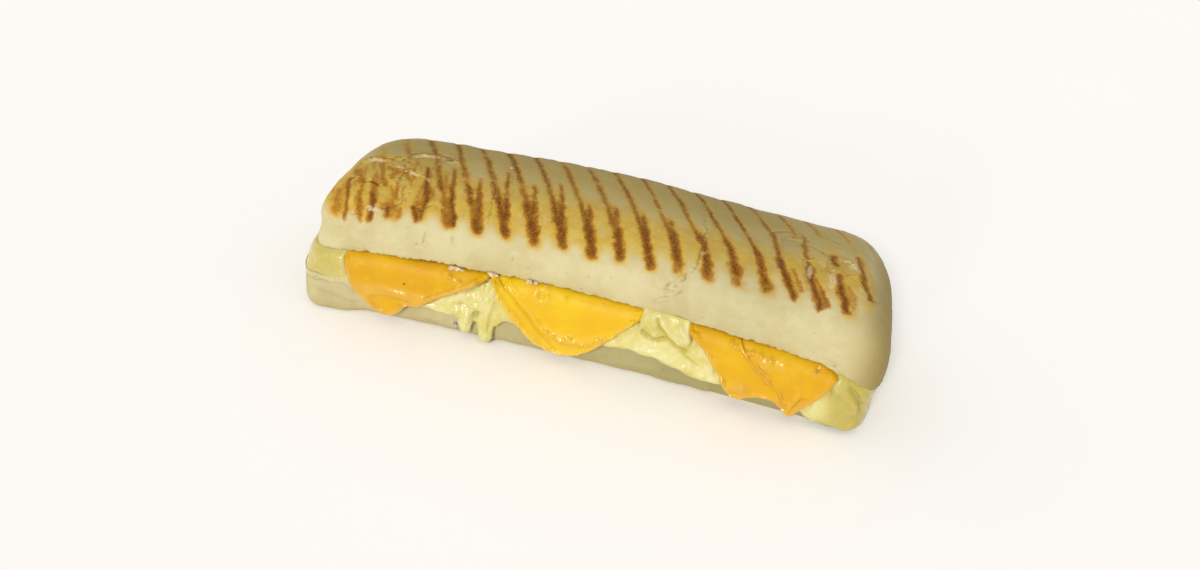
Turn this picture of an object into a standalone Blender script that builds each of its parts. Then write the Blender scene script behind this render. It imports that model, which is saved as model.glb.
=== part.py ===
"""A grilled cheese panini: a ridged-grill bread roll cut in two, with melted cheese in between.

The loaf is carried round a straight spine with blunt rounded ends. A node is a profile of
(reach, height) points, where reach is the distance out from the spine, and the profile changes
from station to station round the loaf. The layers from the table up are the heel of the roll,
mozzarella that droops over the heel, three cheddar slices whose corners hang over the front and
a little over the back, and the domed crown. The whole loaf curves slightly towards the front.
"""
import math

import bmesh
import bpy
from mathutils import Vector, noise

# Driving dimensions, in metres
SPINE = 0.099             # half of the straight middle, from where the ends are rounded
SIDE_REACH = 0.0392       # widest half-width of the bread
END_SHORTER = 0.0135      # an end reaches this much less from its spine point than a side does
FULL_REACH = 0.030        # reach from which the ends are shorter by the whole of END_SHORTER
FRONT_POWER = 5.0         # squareness of the ends' front and back corners, 2 for an ellipse
BACK_POWER = 2.7
CROWN_LONGER = 0.0022     # the crown's right end reaches this much further at its rim
CROWN_LEAN = 0.0120       # and leans in by this much up to the top
LOWER_LONGER = 0.0050     # the heel's and the mozzarella's left end reaches this much further
BEND = 0.0045             # how far the ends curve to the front
HALF_LENGTH = 0.127

CUT_HEIGHT = 0.0368       # underside of the crown at its highest
CUT_HIGHEST = -0.012      # where along the loaf it is highest
CUT_FALL = 0.0060         # how far it falls at CUT_FALL_RUN from there
CUT_FALL_RUN = 0.115
DROOP_LEFT = 0.08         # slope with which it goes on falling round each end
DROOP_RIGHT = 0.20

CROWN_TOP = 0.0600        # mean height of the pressed top
CROWN_WAVE = 0.0020       # the top is this much higher and lower along the loaf
CROWN_WAVE_HALF = 0.110
CROWN_WAVE_MIDDLE = -0.015
CROWN_WIDEST = 0.0450     # height at which the crown is widest
CROWN_POWER = 3.2         # flatness of the top, 2 for an ellipse
CROWN_SHARES = (0.0, 0.25, 0.47, 0.64, 0.77, 0.87, 0.94, 0.985)   # of the reach, over the dome
SIDE_SHARE = 0.992        # the crown's side between there and the rim, as a share of the reach
RIM_REACH = 0.965         # the torn lower rim
RIM_INSIDE = 0.93
RIM_RAISED = 0.0006       # mean height of the torn rim over the cut
# Patches of blistered flakes on the front shoulder: middle and half sizes in plan, and lift
FLAKES = (
    dict(middle=(-0.084, -0.018), half=(0.026, 0.018), lift=0.0013),
    dict(middle=(0.094, -0.012), half=(0.019, 0.016), lift=0.0009),
)
FLAKE_EDGE = (0.86, 1.04)

HEEL_HEIGHT = 0.0160
HEEL_TOP_REACH = 0.0336
HEEL_FLAT_REACH = 0.0340  # of the flat underside
HEEL_HEIGHTS = (0.0135, 0.0080, 0.0025)
HEEL_REACHES = (0.0368, 0.0380, 0.0370)
HEEL_STEP = 0.0012        # the heel's front is stepped in by this at a tear
HEEL_STEP_AT = (0.056, 0.061)

CHEDDAR_THICK = 0.0025
GAP = 0.0003              # kept between neighbours

MOZZARELLA_REACH = 0.0404
LEFT_THINNER = 0.0012     # the mozzarella's left end swells out this much less
LEFT_THINNER_AT = (0.112, 0.124)
LAYER_TOP = 0.0034        # depth of the layer's flat top below the cut, and its reach
LAYER_TOP_REACH = 0.0335
FREE_DROPS = (0.0008, 0.0022, 0.0060)                     # side below the cut, where it is free
FREE_REACHES = (0.0372, 0.0388)
HELD_DROPS = (0.0034, 0.0048, 0.0085)                     # and behind a hanging cheddar corner
HELD_REACHES = (0.0355, 0.0372, 0.0384, 0.0387, 0.0386)
COVER_MARGIN = 0.0046     # the mozzarella is held back this far beside a cheddar corner
INSIDE_FREE = 0.0386      # inner face of the lip over the heel
INSIDE_HELD = 0.0378
LIP_WALL = 0.0005         # least thickness of the lip's edge
FLOOR_EDGE = (0.0377, 0.0139)                             # reach and height of the layer's floor
FLOOR_REACH = 0.0352
FLOOR_GAP = 0.0004        # between the layer's floor and the heel
# Height of the lip's edge, and its dips: middle, half width and depth
FRONT_LIP = 0.0135
FRONT_DIPS = ((-0.055, 0.014, 0.0020), (-0.0433, 0.0065, 0.0118), (0.046, 0.018, 0.0050))
LIP_FALL = 0.0105         # at the right end the mozzarella hangs to near the table
LIP_FALL_AT = (0.101, 0.110)
BACK_LIP = 0.0125
BACK_DIPS = ((0.030, 0.020, 0.0030), (-0.075, 0.012, 0.0040))

# Unevenness of each surface: height of its swells, their size, and the noise's layer
CRUST_SWELLS = (0.0006, 0.026, 1.0)
CRUST_LUMPS = (0.0003, 0.009, 2.0)
FLAKE_OUTLINE = (0.25, 0.008, 3.0)
FLAKE_LUMPS = (0.0005, 0.006, 4.0)
RIM_TEARS = (0.0006, 0.007, 5.0)
SIDE_SWELLS = (0.0005, 0.022, 6.0)
HEEL_SWELLS = (0.0004, 0.030, 7.0)
LIP_SWELLS = (0.0012, 0.012, 8.0)
MOZZARELLA_LUMPS = (0.0009, 0.008, 9.0)

DRAPE_START = 0.0360      # a cheddar slice lies flat out to this reach
DRAPE_RADIUS = 0.0060     # outer radius with which it turns down
DRAPE_TUCK = math.radians(91.5)

SIDE_STATIONS = 48        # along one side
END_STATIONS = 14         # round one end

# Each cheddar slice: hidden ends, front corner's edges at the cut, how steeply they run to the
# corner, how far the corner hangs, and the middle of the small corner at the back
SLICES = {
    "cheddar_left": dict(ends=(-0.1105, -0.0430), cut=(-0.1060, -0.0430), steep=(1.70, 0.78),
                         hang=0.0305, back=-0.072),
    "cheddar_middle": dict(ends=(-0.0421, 0.0310), cut=(-0.0415, 0.0250), steep=(1.30, 1.22),
                           hang=0.0315, back=-0.004),
    "cheddar_right": dict(ends=(0.0360, 0.1105), cut=(0.0425, 0.1080), steep=(1.22, 1.45),
                          hang=0.0265, back=0.070),
}
CUT_RUN = 0.0390          # run of a slice from the centre line to where it shows
FRONT_ROUNDING = 0.0015   # of the front corner's tip
BACK_HANG = 0.012
BACK_STEEP = 0.9
SLICE_COLUMNS = 16
# Runs along a slice at which it has a row of points, closer together where it bends
SLICE_RUNS = (-0.060, -0.0450, -0.0415, -0.0385, -0.036, -0.018, 0.0, 0.018,
              0.036, 0.0385, 0.0415, 0.0450, 0.052, 0.059, 0.066, 0.080)
LEAST_ROW = 0.0006        # rows that fall outside the slice keep this distance

COLLECTION = "panini"


def clear_scene():
    """Remove every object that the file starts with."""
    for item in list(bpy.data.objects):
        bpy.data.objects.remove(item, do_unlink=True)


def material(name, colour, roughness):
    """A Principled material of one plain colour."""
    made = bpy.data.materials.new(name)
    made.use_nodes = True
    shader = made.node_tree.nodes["Principled BSDF"]
    shader.inputs["Base Color"].default_value = (*colour, 1.0)
    shader.inputs["Roughness"].default_value = roughness
    shader.inputs["Metallic"].default_value = 0.0
    return made


def smooth_step(value, low, high):
    """0 below low, 1 above high and an even rise in between."""
    share = min(1.0, max(0.0, (value - low) / (high - low)))
    return share * share * (3.0 - 2.0 * share)


def bump(value, middle, half):
    """1 at the middle, falling evenly to 0 at half to either side."""
    return 1.0 - smooth_step(abs(value - middle), 0.0, half)


def ripple(swells, x, y):
    """Even noise of the given height and size of swells, in one layer of the noise."""
    height, size, layer = swells
    return height * noise.noise(Vector((x / size, y / size, layer)))


def stations():
    """Stations round the loaf from the front left: spine x, end share and side share."""
    found = []
    for step in range(SIDE_STATIONS):
        found.append((SPINE * (2.0 * step / SIDE_STATIONS - 1.0), 0.0, -1.0))
    for step in range(END_STATIONS):
        found.append(corner(SPINE, -0.5 * math.pi + math.pi * step / END_STATIONS))
    for step in range(SIDE_STATIONS):
        found.append((SPINE * (1.0 - 2.0 * step / SIDE_STATIONS), 0.0, 1.0))
    for step in range(END_STATIONS):
        found.append(corner(-SPINE, 0.5 * math.pi + math.pi * step / END_STATIONS))
    return found


def corner(spine_x, angle):
    """A station on the squared arc round one end of the spine."""
    across, along = math.sin(angle), math.cos(angle)
    power = FRONT_POWER if across < 0.0 else BACK_POWER
    grow = (abs(along) ** power + abs(across) ** power) ** (-1.0 / power)
    return spine_x, along * grow, across * grow


def plan(station, reach):
    """The x and y of a point at a reach from the spine, with the loaf's bend."""
    spine_x, end_share, side_share = station
    x = spine_x + end_share * (reach - END_SHORTER * min(1.0, reach / FULL_REACH))
    return x, side_share * reach + bend(x)


def bend(x):
    """How far the loaf's middle line lies from the X axis."""
    return -BEND * (x / HALF_LENGTH) ** 2


def cut_height(x):
    """Height of the crown's underside, arched along the loaf and drooping at the right end."""
    inside = min(SPINE, max(-SPINE, x))
    fall = CUT_FALL * ((inside - CUT_HIGHEST) / CUT_FALL_RUN) ** 2
    return CUT_HEIGHT - fall + DROOP_LEFT * min(0.0, x + SPINE) - DROOP_RIGHT * max(0.0, x - SPINE)


def crown_height(x):
    """Height of the pressed top along the loaf."""
    return CROWN_TOP + CROWN_WAVE * math.cos(math.pi * (x - CROWN_WAVE_MIDDLE) / CROWN_WAVE_HALF)


def crust_relief(x, y):
    """Blistered flakes at both ends of the front shoulder, and the crust's unevenness."""
    relief = ripple(CRUST_SWELLS, x, y) + ripple(CRUST_LUMPS, x, y)
    for patch in FLAKES:
        middle_x, middle_y = patch["middle"]
        half_x, half_y = patch["half"]
        away = math.hypot((x - middle_x) / half_x, (y - middle_y) / half_y)
        away += ripple(FLAKE_OUTLINE, x, y)
        flake = 1.0 - smooth_step(away, *FLAKE_EDGE)
        relief += flake * (patch["lift"] + ripple(FLAKE_LUMPS, x, y))
    return relief


def crown_profile(station):
    """From the spine over the top, down the side to the torn rim and back to the spine."""
    points = []
    widest = SIDE_REACH + CROWN_LONGER * max(0.0, station[1])
    for share in CROWN_SHARES:
        reach = share * widest
        x, y = plan(station, reach)
        rise = crown_height(x) - CROWN_WIDEST
        level = math.sqrt(1.0 - share ** CROWN_POWER)
        lean = CROWN_POWER * share ** (CROWN_POWER - 1.0) / widest
        upright = 2.0 * level / rise
        relief = crust_relief(x, y) / math.hypot(lean, upright)
        points.append((reach + relief * lean, CROWN_WIDEST + rise * level + relief * upright))
    x, y = plan(station, widest)
    cut = cut_height(x)
    torn = RIM_RAISED + ripple(RIM_TEARS, x, y)
    side = ripple(SIDE_SWELLS, x, y)
    points.append((widest + side, CROWN_WIDEST))
    points.append((SIDE_SHARE * widest + side, 0.5 * (CROWN_WIDEST + cut)))
    points.append((RIM_REACH * widest + 0.5 * side, cut + torn))
    points.append((RIM_INSIDE * widest, cut))
    points = [(reach * end_lean(station, height, cut), height) for reach, height in points]
    points.append((0.0, cut_height(station[0])))
    return points


def end_lean(station, height, cut):
    """Share of its reach that the crown keeps at a height, less up the leaning right end."""
    upward = (height - cut) / (CROWN_TOP - cut)
    return 1.0 - CROWN_LEAN * max(0.0, station[1]) * upward * upward / SIDE_REACH


def heel_profile(station):
    """From the spine over the cut top, down the bulging side to the flat underside."""
    x, y = plan(station, SIDE_REACH)
    uneven = min(0.0, ripple(HEEL_SWELLS, x, y))
    if station[2] > -1.0:
        x = 0.0
    stepped = HEEL_STEP * smooth_step(x, *HEEL_STEP_AT)
    further = LOWER_LONGER * min(0.0, station[1]) ** 2
    points = [(0.0, HEEL_HEIGHT), (HEEL_TOP_REACH + further, HEEL_HEIGHT)]
    for reach, height in zip(HEEL_REACHES, HEEL_HEIGHTS):
        points.append((reach - stepped + uneven + further, height))
    points.append((HEEL_FLAT_REACH + further, 0.0))
    points.append((0.0, 0.0))
    return points


def lip_height(x, side_share):
    """How low the mozzarella's drooping lip hangs, at the front, the ends and the back."""
    front_share = 1.0 - smooth_step(side_share, 0.0, 0.8)
    front = FRONT_LIP + ripple(LIP_SWELLS, x, 0.0) - LIP_FALL * smooth_step(x, *LIP_FALL_AT)
    for middle, half, depth in FRONT_DIPS:
        front -= depth * bump(x, middle, half)
    back = BACK_LIP
    for middle, half, depth in BACK_DIPS:
        back -= depth * bump(x, middle, half)
    return front_share * front + (1.0 - front_share) * back


def drape_run(x, height):
    """Run from the centre line, along a slice's outer face, down to a height."""
    level = cut_height(x) - GAP - DRAPE_RADIUS
    quarter = DRAPE_START + 0.5 * math.pi * DRAPE_RADIUS
    if height > level:
        return CUT_RUN
    return quarter + level - height


def front_run(slice_sizes, x):
    """Run of a slice's front edge at x: two straight edges that meet in a rounded corner."""
    left, right = slice_sizes["cut"]
    steep_left, steep_right = slice_sizes["steep"]
    edges = ((x - left) * steep_left, (right - x) * steep_right, slice_sizes["hang"])
    total = sum(math.exp(-edge / FRONT_ROUNDING) for edge in edges)
    return CUT_RUN - FRONT_ROUNDING * math.log(total)


def back_run(slice_sizes, x):
    """Run of a slice's back edge at x, counted from the centre line to the back."""
    away = abs(x - slice_sizes["back"])
    return CUT_RUN + BACK_HANG - away * BACK_STEEP


def is_covered(x, height, side_share):
    """Whether a hanging cheddar corner lies over this place of the mozzarella, or close by."""
    run = drape_run(x, height)
    for sizes in SLICES.values():
        low, high = sizes["ends"]
        if not low - COVER_MARGIN < x < high + COVER_MARGIN:
            continue
        for step in (-COVER_MARGIN, 0.0, COVER_MARGIN):
            near = min(high, max(low, x + step))
            edge = front_run(sizes, near) if side_share < 0.0 else back_run(sizes, near)
            if run < edge + COVER_MARGIN:
                return True
    return False


def mozzarella_profile(station):
    """A layer on the heel that swells out under the crown and droops in a lip over the heel."""
    x, y = plan(station, SIDE_REACH)
    at_side = abs(station[2]) > 0.9
    cut = cut_height(x)
    lip = lip_height(x, station[2])
    lumps = ripple(MOZZARELLA_LUMPS, x, y)
    swell = MOZZARELLA_REACH + lumps - LEFT_THINNER * smooth_step(-x, *LEFT_THINNER_AT)
    heights = [cut - drop for drop in FREE_DROPS]
    heights += [0.5 * (heights[-1] + lip), lip + 0.0030]
    free = [*FREE_REACHES, swell, swell + 0.5 * lumps, swell - 0.0004]
    points = [(0.0, cut_height(station[0]) - LAYER_TOP), (LAYER_TOP_REACH, cut - LAYER_TOP)]
    for place, height in enumerate(heights):
        hidden = at_side and is_covered(x, height, station[2])
        if hidden and place < len(HELD_DROPS):
            points.append((HELD_REACHES[place], cut - HELD_DROPS[place]))
        elif hidden:
            points.append((HELD_REACHES[place], height))
        else:
            points.append((free[place], height))
    inside = INSIDE_HELD if hidden else INSIDE_FREE
    floor_reach, floor_height = FLOOR_EDGE
    points.append((max(points[-1][0] - 0.0006, inside + LIP_WALL), lip))
    points.append((inside, lip + FLOOR_GAP))
    points.append((inside, 0.5 * (lip + floor_height)))
    points.append((floor_reach, floor_height))
    points.append((FLOOR_REACH, HEEL_HEIGHT + FLOOR_GAP))
    further = LOWER_LONGER * min(0.0, station[1]) ** 2
    points = [(reach + further * min(1.0, reach / FULL_REACH), height) for reach, height in points]
    points.append((0.0, HEEL_HEIGHT + FLOOR_GAP))
    return points


def loft(name, profile, finish):
    """Carry a profile round the spine, close it along the spine and add it as an object."""
    mesh = bmesh.new()
    rings = []
    for station in stations():
        ring = []
        for reach, height in profile(station):
            x, y = plan(station, reach)
            ring.append(mesh.verts.new((x, y, height)))
        rings.append(ring)
    for place, ring in enumerate(rings):
        after = rings[(place + 1) % len(rings)]
        for low in range(len(ring) - 1):
            mesh.faces.new((ring[low], ring[low + 1], after[low + 1], after[low]))
    bmesh.ops.remove_doubles(mesh, verts=mesh.verts, dist=0.000001)
    bmesh.ops.recalc_face_normals(mesh, faces=mesh.faces)
    return add_object(name, mesh, finish)


def add_object(name, mesh, finish):
    """Put a bmesh into an object of the collection, shaded smooth but for its sharp edges."""
    data = bpy.data.meshes.new(name)
    mesh.to_mesh(data)
    mesh.free()
    data.materials.append(finish)
    data.shade_smooth()
    data.set_sharp_from_angle(angle=math.radians(50.0))
    made = bpy.data.objects.new(name, data)
    bpy.data.collections[COLLECTION].objects.link(made)
    return made


def drape(x, run):
    """The place of a slice's outer face at a run from the centre line, front runs negative."""
    side = math.copysign(1.0, run)
    beyond = abs(run) - DRAPE_START
    top = cut_height(x) - GAP
    if beyond <= 0.0:
        return x, run + bend(x), top
    angle = min(beyond / DRAPE_RADIUS, DRAPE_TUCK)
    straight = max(0.0, beyond - DRAPE_TUCK * DRAPE_RADIUS)
    reach = DRAPE_START + DRAPE_RADIUS * math.sin(angle) + straight * math.cos(angle)
    height = top - DRAPE_RADIUS * (1.0 - math.cos(angle)) - straight * math.sin(angle)
    return x, side * reach + bend(x), height


def cheddar(name, finish):
    """A thin slice draped over the layers, its corner hanging at the front."""
    sizes = SLICES[name]
    left, right = sizes["ends"]
    rows = len(SLICE_RUNS) - 1
    mesh = bmesh.new()
    bmesh.ops.create_grid(mesh, x_segments=SLICE_COLUMNS, y_segments=rows, size=1.0)
    for vertex in mesh.verts:
        x = left + (right - left) * 0.5 * (vertex.co.x + 1.0)
        row = round(0.5 * (vertex.co.y + 1.0) * rows)
        least = row * LEAST_ROW - back_run(sizes, x)
        most = front_run(sizes, x) - (rows - row) * LEAST_ROW
        vertex.co = drape(x, -min(most, max(least, SLICE_RUNS[row])))
    mesh.normal_update()
    if sum(face.normal.z for face in mesh.faces) < 0.0:
        bmesh.ops.reverse_faces(mesh, faces=mesh.faces)
    made = add_object(name, mesh, finish)
    solidify = made.modifiers.new("thickness", "SOLIDIFY")
    solidify.thickness = CHEDDAR_THICK
    solidify.offset = -1.0
    solidify.use_even_offset = True
    return made


def stand_on_origin():
    """Move every mesh so that the middle of the whole loaf's underside is the origin."""
    bpy.context.view_layer.update()
    graph = bpy.context.evaluated_depsgraph_get()
    corners = []
    for item in bpy.data.collections[COLLECTION].objects:
        corners += [Vector(corner_point) for corner_point in item.evaluated_get(graph).bound_box]
    middle_x = 0.5 * (min(point.x for point in corners) + max(point.x for point in corners))
    middle_y = 0.5 * (min(point.y for point in corners) + max(point.y for point in corners))
    for item in bpy.data.collections[COLLECTION].objects:
        for vertex in item.data.vertices:
            vertex.co -= Vector((middle_x, middle_y, 0.0))


def main():
    """Build the panini from the table up."""
    clear_scene()
    collection = bpy.data.collections.new(COLLECTION)
    bpy.context.scene.collection.children.link(collection)
    bread = material("bread", (0.74, 0.63, 0.36), 0.75)
    toasted = material("toasted bread", (0.60, 0.42, 0.16), 0.72)
    mozzarella = material("mozzarella", (0.76, 0.68, 0.27), 0.35)
    cheddar_finish = material("cheddar", (0.88, 0.49, 0.03), 0.30)
    loft("bread_bottom", heel_profile, bread)
    loft("mozzarella", mozzarella_profile, mozzarella)
    for name in SLICES:
        cheddar(name, cheddar_finish)
    loft("bread_top", crown_profile, toasted)
    stand_on_origin()


main()
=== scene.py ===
"""The looks of a grilled cheese panini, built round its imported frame.

Shapes are worked out in millimetres in the loaf's own frame, whose X axis is the straight spine
that the bread is carried round, and are moved to the frame's origin as they become meshes.
Each piece is a grid of points: a profile of (reach, height) carried round the spine for bread
and mozzarella, or a sheet of (x, run) bent over the layers for the cheddar slices.
"""
import math

import bmesh
import bpy
import numpy as np
from mathutils import Matrix, Vector


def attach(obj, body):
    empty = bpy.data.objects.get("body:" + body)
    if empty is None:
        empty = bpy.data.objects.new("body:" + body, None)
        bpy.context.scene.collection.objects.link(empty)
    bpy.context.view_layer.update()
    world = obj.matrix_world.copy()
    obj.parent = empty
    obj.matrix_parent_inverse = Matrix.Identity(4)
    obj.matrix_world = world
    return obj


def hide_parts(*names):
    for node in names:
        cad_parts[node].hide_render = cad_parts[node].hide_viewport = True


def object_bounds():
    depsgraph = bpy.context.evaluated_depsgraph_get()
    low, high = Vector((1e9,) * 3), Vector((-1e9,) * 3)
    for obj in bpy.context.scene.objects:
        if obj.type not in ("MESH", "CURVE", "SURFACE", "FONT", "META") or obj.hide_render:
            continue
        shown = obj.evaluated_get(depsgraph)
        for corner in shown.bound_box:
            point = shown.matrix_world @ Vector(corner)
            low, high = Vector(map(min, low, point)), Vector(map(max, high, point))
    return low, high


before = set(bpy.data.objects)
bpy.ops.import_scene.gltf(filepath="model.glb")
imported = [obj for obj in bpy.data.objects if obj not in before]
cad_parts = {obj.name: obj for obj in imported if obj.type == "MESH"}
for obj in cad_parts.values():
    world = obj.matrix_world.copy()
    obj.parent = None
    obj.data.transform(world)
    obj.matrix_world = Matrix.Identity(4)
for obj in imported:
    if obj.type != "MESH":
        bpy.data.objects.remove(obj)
CAD_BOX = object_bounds()

MM = 0.001
LOAF_MIDDLE = np.array((2.059, 1.458, 0.0))   # the loaf's own origin, seen from the frame's

# The loaf's outline and layers, in millimetres
SPINE = 99.0
SIDE_REACH = 39.2
END_SHORTER = 13.5
FULL_REACH = 30.0
FRONT_POWER = 5.0
BACK_POWER = 2.7
CROWN_LONGER = 2.2
CROWN_LEAN = 12.0
LEFT_LEAN = 0.08
LOWER_LONGER = 5.0
BEND = 4.5
HALF_LENGTH = 127.0
CUT_HEIGHT = 36.8
CUT_HIGHEST = -12.0
CUT_FALL = 6.0
CUT_FALL_RUN = 115.0
DROOP_LEFT = 0.15
DROOP_RIGHT = 0.30
CROWN_TOP = 60.0
CROWN_WAVE = 2.0
CROWN_WAVE_HALF = 110.0
CROWN_WAVE_MIDDLE = -15.0
CROWN_WIDEST = 45.0
CROWN_POWER = 3.2
RIM_REACH = 0.965
HEEL_HEIGHT = 16.0
CHEDDAR_THICK = 2.5
GAP = 0.3
MOZZARELLA_REACH = 40.4
DRAPE_START = 36.0
DRAPE_RADIUS = 6.0
DRAPE_TUCK = math.radians(91.5)

# How finely the pieces are divided: stations along the front and round each end, and rows
CROWN_FRONT, CROWN_END = 420, 145
CHEESE_FRONT, CHEESE_END = 400, 130
HEEL_FRONT, HEEL_END = 260, 90
DOME_ROWS = 74
SIDE_ROWS = 28
SLICE_COLUMNS, SLICE_ROWS = 230, 200
BALL_SIDES, BALL_RINGS = 24, 13

WELD = 0.000002          # points nearer than this, in metres, become one
HASH_MASK = 0xFFFFFFFF
BOX_EASE = 1.2           # how far inside the frame's box the points start to ease in
PAINT_SHARE = 0.81       # the front is lit more than a white card lying flat, so it is painted darker


def smooth(value, low, high):
    """0 below low, 1 above high and an even rise in between."""
    share = np.clip((value - low) / (high - low), 0.0, 1.0)
    return share * share * (3.0 - 2.0 * share)


def hill(value, middle, half):
    """1 at the middle, falling evenly to 0 at half to either side."""
    return 1.0 - smooth(np.abs(value - middle), 0.0, half)


def chance(column, row, layer, seed):
    """A repeatable number from -1 to 1 for each lattice point, by mixing whole numbers."""
    mixed = (column * 73856093) ^ (row * 19349663) ^ (layer * 83492791) ^ (seed * 40503)
    mixed = (mixed & HASH_MASK).astype(np.uint64)
    for shift, factor in ((15, 2246822519), (13, 3266489917)):
        mixed = ((mixed ^ (mixed >> np.uint64(shift))) * np.uint64(factor)) & np.uint64(HASH_MASK)
    mixed ^= mixed >> np.uint64(16)
    return mixed.astype(float) / (0.5 * HASH_MASK) - 1.0


def swell(x, y, z, size, seed):
    """Value noise from -1 to 1: eight lattice values round a point, blended by a quintic rise."""
    shape = np.broadcast_shapes(np.shape(x), np.shape(y), np.shape(z))
    cells, rises = [], []
    for place in (x, y, z):
        place = np.broadcast_to(np.asarray(place, float) / size, shape)
        low = np.floor(place)
        part = place - low
        cells.append(low.astype(np.int64))
        rises.append(part ** 3 * (part * (6.0 * part - 15.0) + 10.0))
    total = np.zeros(shape)
    for corner in range(8):
        steps = [(corner >> axis) & 1 for axis in range(3)]
        weight = np.ones(shape)
        for step, rise in zip(steps, rises):
            weight = weight * (rise if step else 1.0 - rise)
        total += weight * chance(*[cell + step for cell, step in zip(cells, steps)], seed)
    return total


def layered(x, y, z, size, seed, layers=3):
    """Noise summed over layers, each half the size and half the height of the last."""
    total = 0.0
    for layer in range(layers):
        total = total + 0.5 ** layer * swell(x, y, z, size * 0.5 ** layer, seed + 17 * layer)
    return total


def curve_through(points, x):
    """A smooth curve through (x, value) points: cubic pieces with the slopes of their chords."""
    place, value = np.array(points, float).T
    slope = np.gradient(value, place)
    x = np.clip(x, place[0], place[-1])
    low = np.clip(np.searchsorted(place, x) - 1, 0, len(place) - 2)
    step = place[low + 1] - place[low]
    part = (x - place[low]) / step
    rise = part * part * (3.0 - 2.0 * part)
    leave = part * (1.0 - part) ** 2 * step * slope[low]
    arrive = part * part * (1.0 - part) * step * slope[low + 1]
    return value[low] * (1.0 - rise) + value[low + 1] * rise + leave - arrive


def trail_distance(across, along, trail):
    """Distance from each point to a trail of straight pieces."""
    nearest = np.full(np.broadcast_shapes(np.shape(across), np.shape(along)), np.inf)
    for (first_u, first_v), (last_u, last_v) in zip(trail[:-1], trail[1:]):
        run_u, run_v = last_u - first_u, last_v - first_v
        share = ((across - first_u) * run_u + (along - first_v) * run_v) / (run_u ** 2 + run_v ** 2)
        share = np.clip(share, 0.0, 1.0)
        away = np.hypot(across - first_u - share * run_u, along - first_v - share * run_v)
        nearest = np.minimum(nearest, away)
    return nearest


def ridge(across, along, trail, half, height):
    """A rounded ridge along a trail, with the height's sign: negative for a groove."""
    return height * np.exp(-(trail_distance(across, along, trail) / half) ** 2)


def ridges(across, along, trails):
    """Ridges and grooves summed, each (trail, half width, height)."""
    total = 0.0
    for trail, half, height in trails:
        total = total + ridge(across, along, trail, half, height)
    return total


def dots(across, along, places):
    """Round bumps, each (place across, place along, radius, height)."""
    total = 0.0
    for middle_u, middle_v, radius, height in places:
        away = np.hypot(across - middle_u, along - middle_v) / radius
        total = total + height * np.exp(-away ** 2)
    return total


def stations(front_count, end_count, back_count):
    """Places round the loaf from the front left, as (spine x, end share, side share) columns.

    Along a side the spine x runs over the straight middle and the side share is -1 or 1. Round
    an end, both shares follow a superellipse, squarer at the front corner than at the back.
    """
    turn = np.pi * np.arange(end_count) / end_count
    columns = [straight_side(front_count, -1.0), rounded_end(SPINE, turn - 0.5 * np.pi),
               straight_side(back_count, 1.0), rounded_end(-SPINE, turn + 0.5 * np.pi)]
    return [np.concatenate(parts)[:, None] for parts in zip(*columns)]


def straight_side(count, side_share):
    """Stations along one straight side, to the right in front and to the left at the back."""
    spine = -side_share * SPINE * (2.0 * np.arange(count) / count - 1.0)
    return spine, 0.0 * spine, side_share + 0.0 * spine


def rounded_end(spine_x, angle):
    """Stations on the squared arc round one end of the spine."""
    across, along = np.sin(angle), np.cos(angle)
    power = np.where(across < 0.0, FRONT_POWER, BACK_POWER)
    grow = (np.abs(along) ** power + np.abs(across) ** power) ** (-1.0 / power)
    return np.full(len(angle), spine_x), along * grow, across * grow


def plan(around, reach):
    """The x and y of points at a reach from the spine, with the loaf's bend."""
    spine_x, end_share, side_share = around
    x = spine_x + end_share * (reach - END_SHORTER * np.minimum(1.0, reach / FULL_REACH))
    return x, side_share * reach + bend(x)


def bend(x):
    """How far the loaf's middle line lies from the X axis."""
    return -BEND * (x / HALF_LENGTH) ** 2


def cut_height(x):
    """Height of the crown's underside, arched along the loaf and drooping at both ends."""
    inside = np.clip(x, -SPINE, SPINE)
    fall = CUT_FALL * ((inside - CUT_HIGHEST) / CUT_FALL_RUN) ** 2
    droop = DROOP_LEFT * np.minimum(0.0, x + SPINE) - DROOP_RIGHT * np.maximum(0.0, x - SPINE)
    return CUT_HEIGHT - fall + droop


def crown_height(x):
    """Height of the pressed top along the loaf."""
    return CROWN_TOP + CROWN_WAVE * np.cos(np.pi * (x - CROWN_WAVE_MIDDLE) / CROWN_WAVE_HALF)


def carried(around, reach, height):
    """The grid of points of a profile carried round the spine."""
    x, y = plan(around, reach)
    return np.stack(np.broadcast_arrays(x, y, height), axis=-1)


def facing(points):
    """Outward unit normals of a grid that closes along its first index, straight up on its first row."""
    along = np.roll(points, -1, 0) - np.roll(points, 1, 0)
    down = np.gradient(points, axis=1)
    normal = np.cross(down, along)
    length = np.linalg.norm(normal, axis=-1, keepdims=True)
    normal = normal / np.maximum(length, 1e-9)
    normal[:, 0] = (0.0, 0.0, 1.0)
    return normal


def held_in_box(points):
    """Points eased in where they near the frame's box, except at the bottom, so none leaves it."""
    low, high = (np.array(corner) / MM - LOAF_MIDDLE for corner in CAD_BOX)
    low[2] = -BOX_EASE
    for limit, sign in ((high, 1.0), (low, -1.0)):
        into = np.maximum(0.0, sign * (points - limit) + BOX_EASE)
        points = points - sign * (into - BOX_EASE * np.tanh(into / BOX_EASE))
    return points


def grid_quads(count, rows, closed):
    """The faces between neighbouring points of a grid, which may close along its first index."""
    number = np.arange(count * rows).reshape(count, rows)
    if closed:
        number = np.vstack((number, number[:1]))
    corners = (number[:-1, :-1], number[1:, :-1], number[1:, 1:], number[:-1, 1:])
    return np.stack(corners, -1).reshape(-1, 4)


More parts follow.
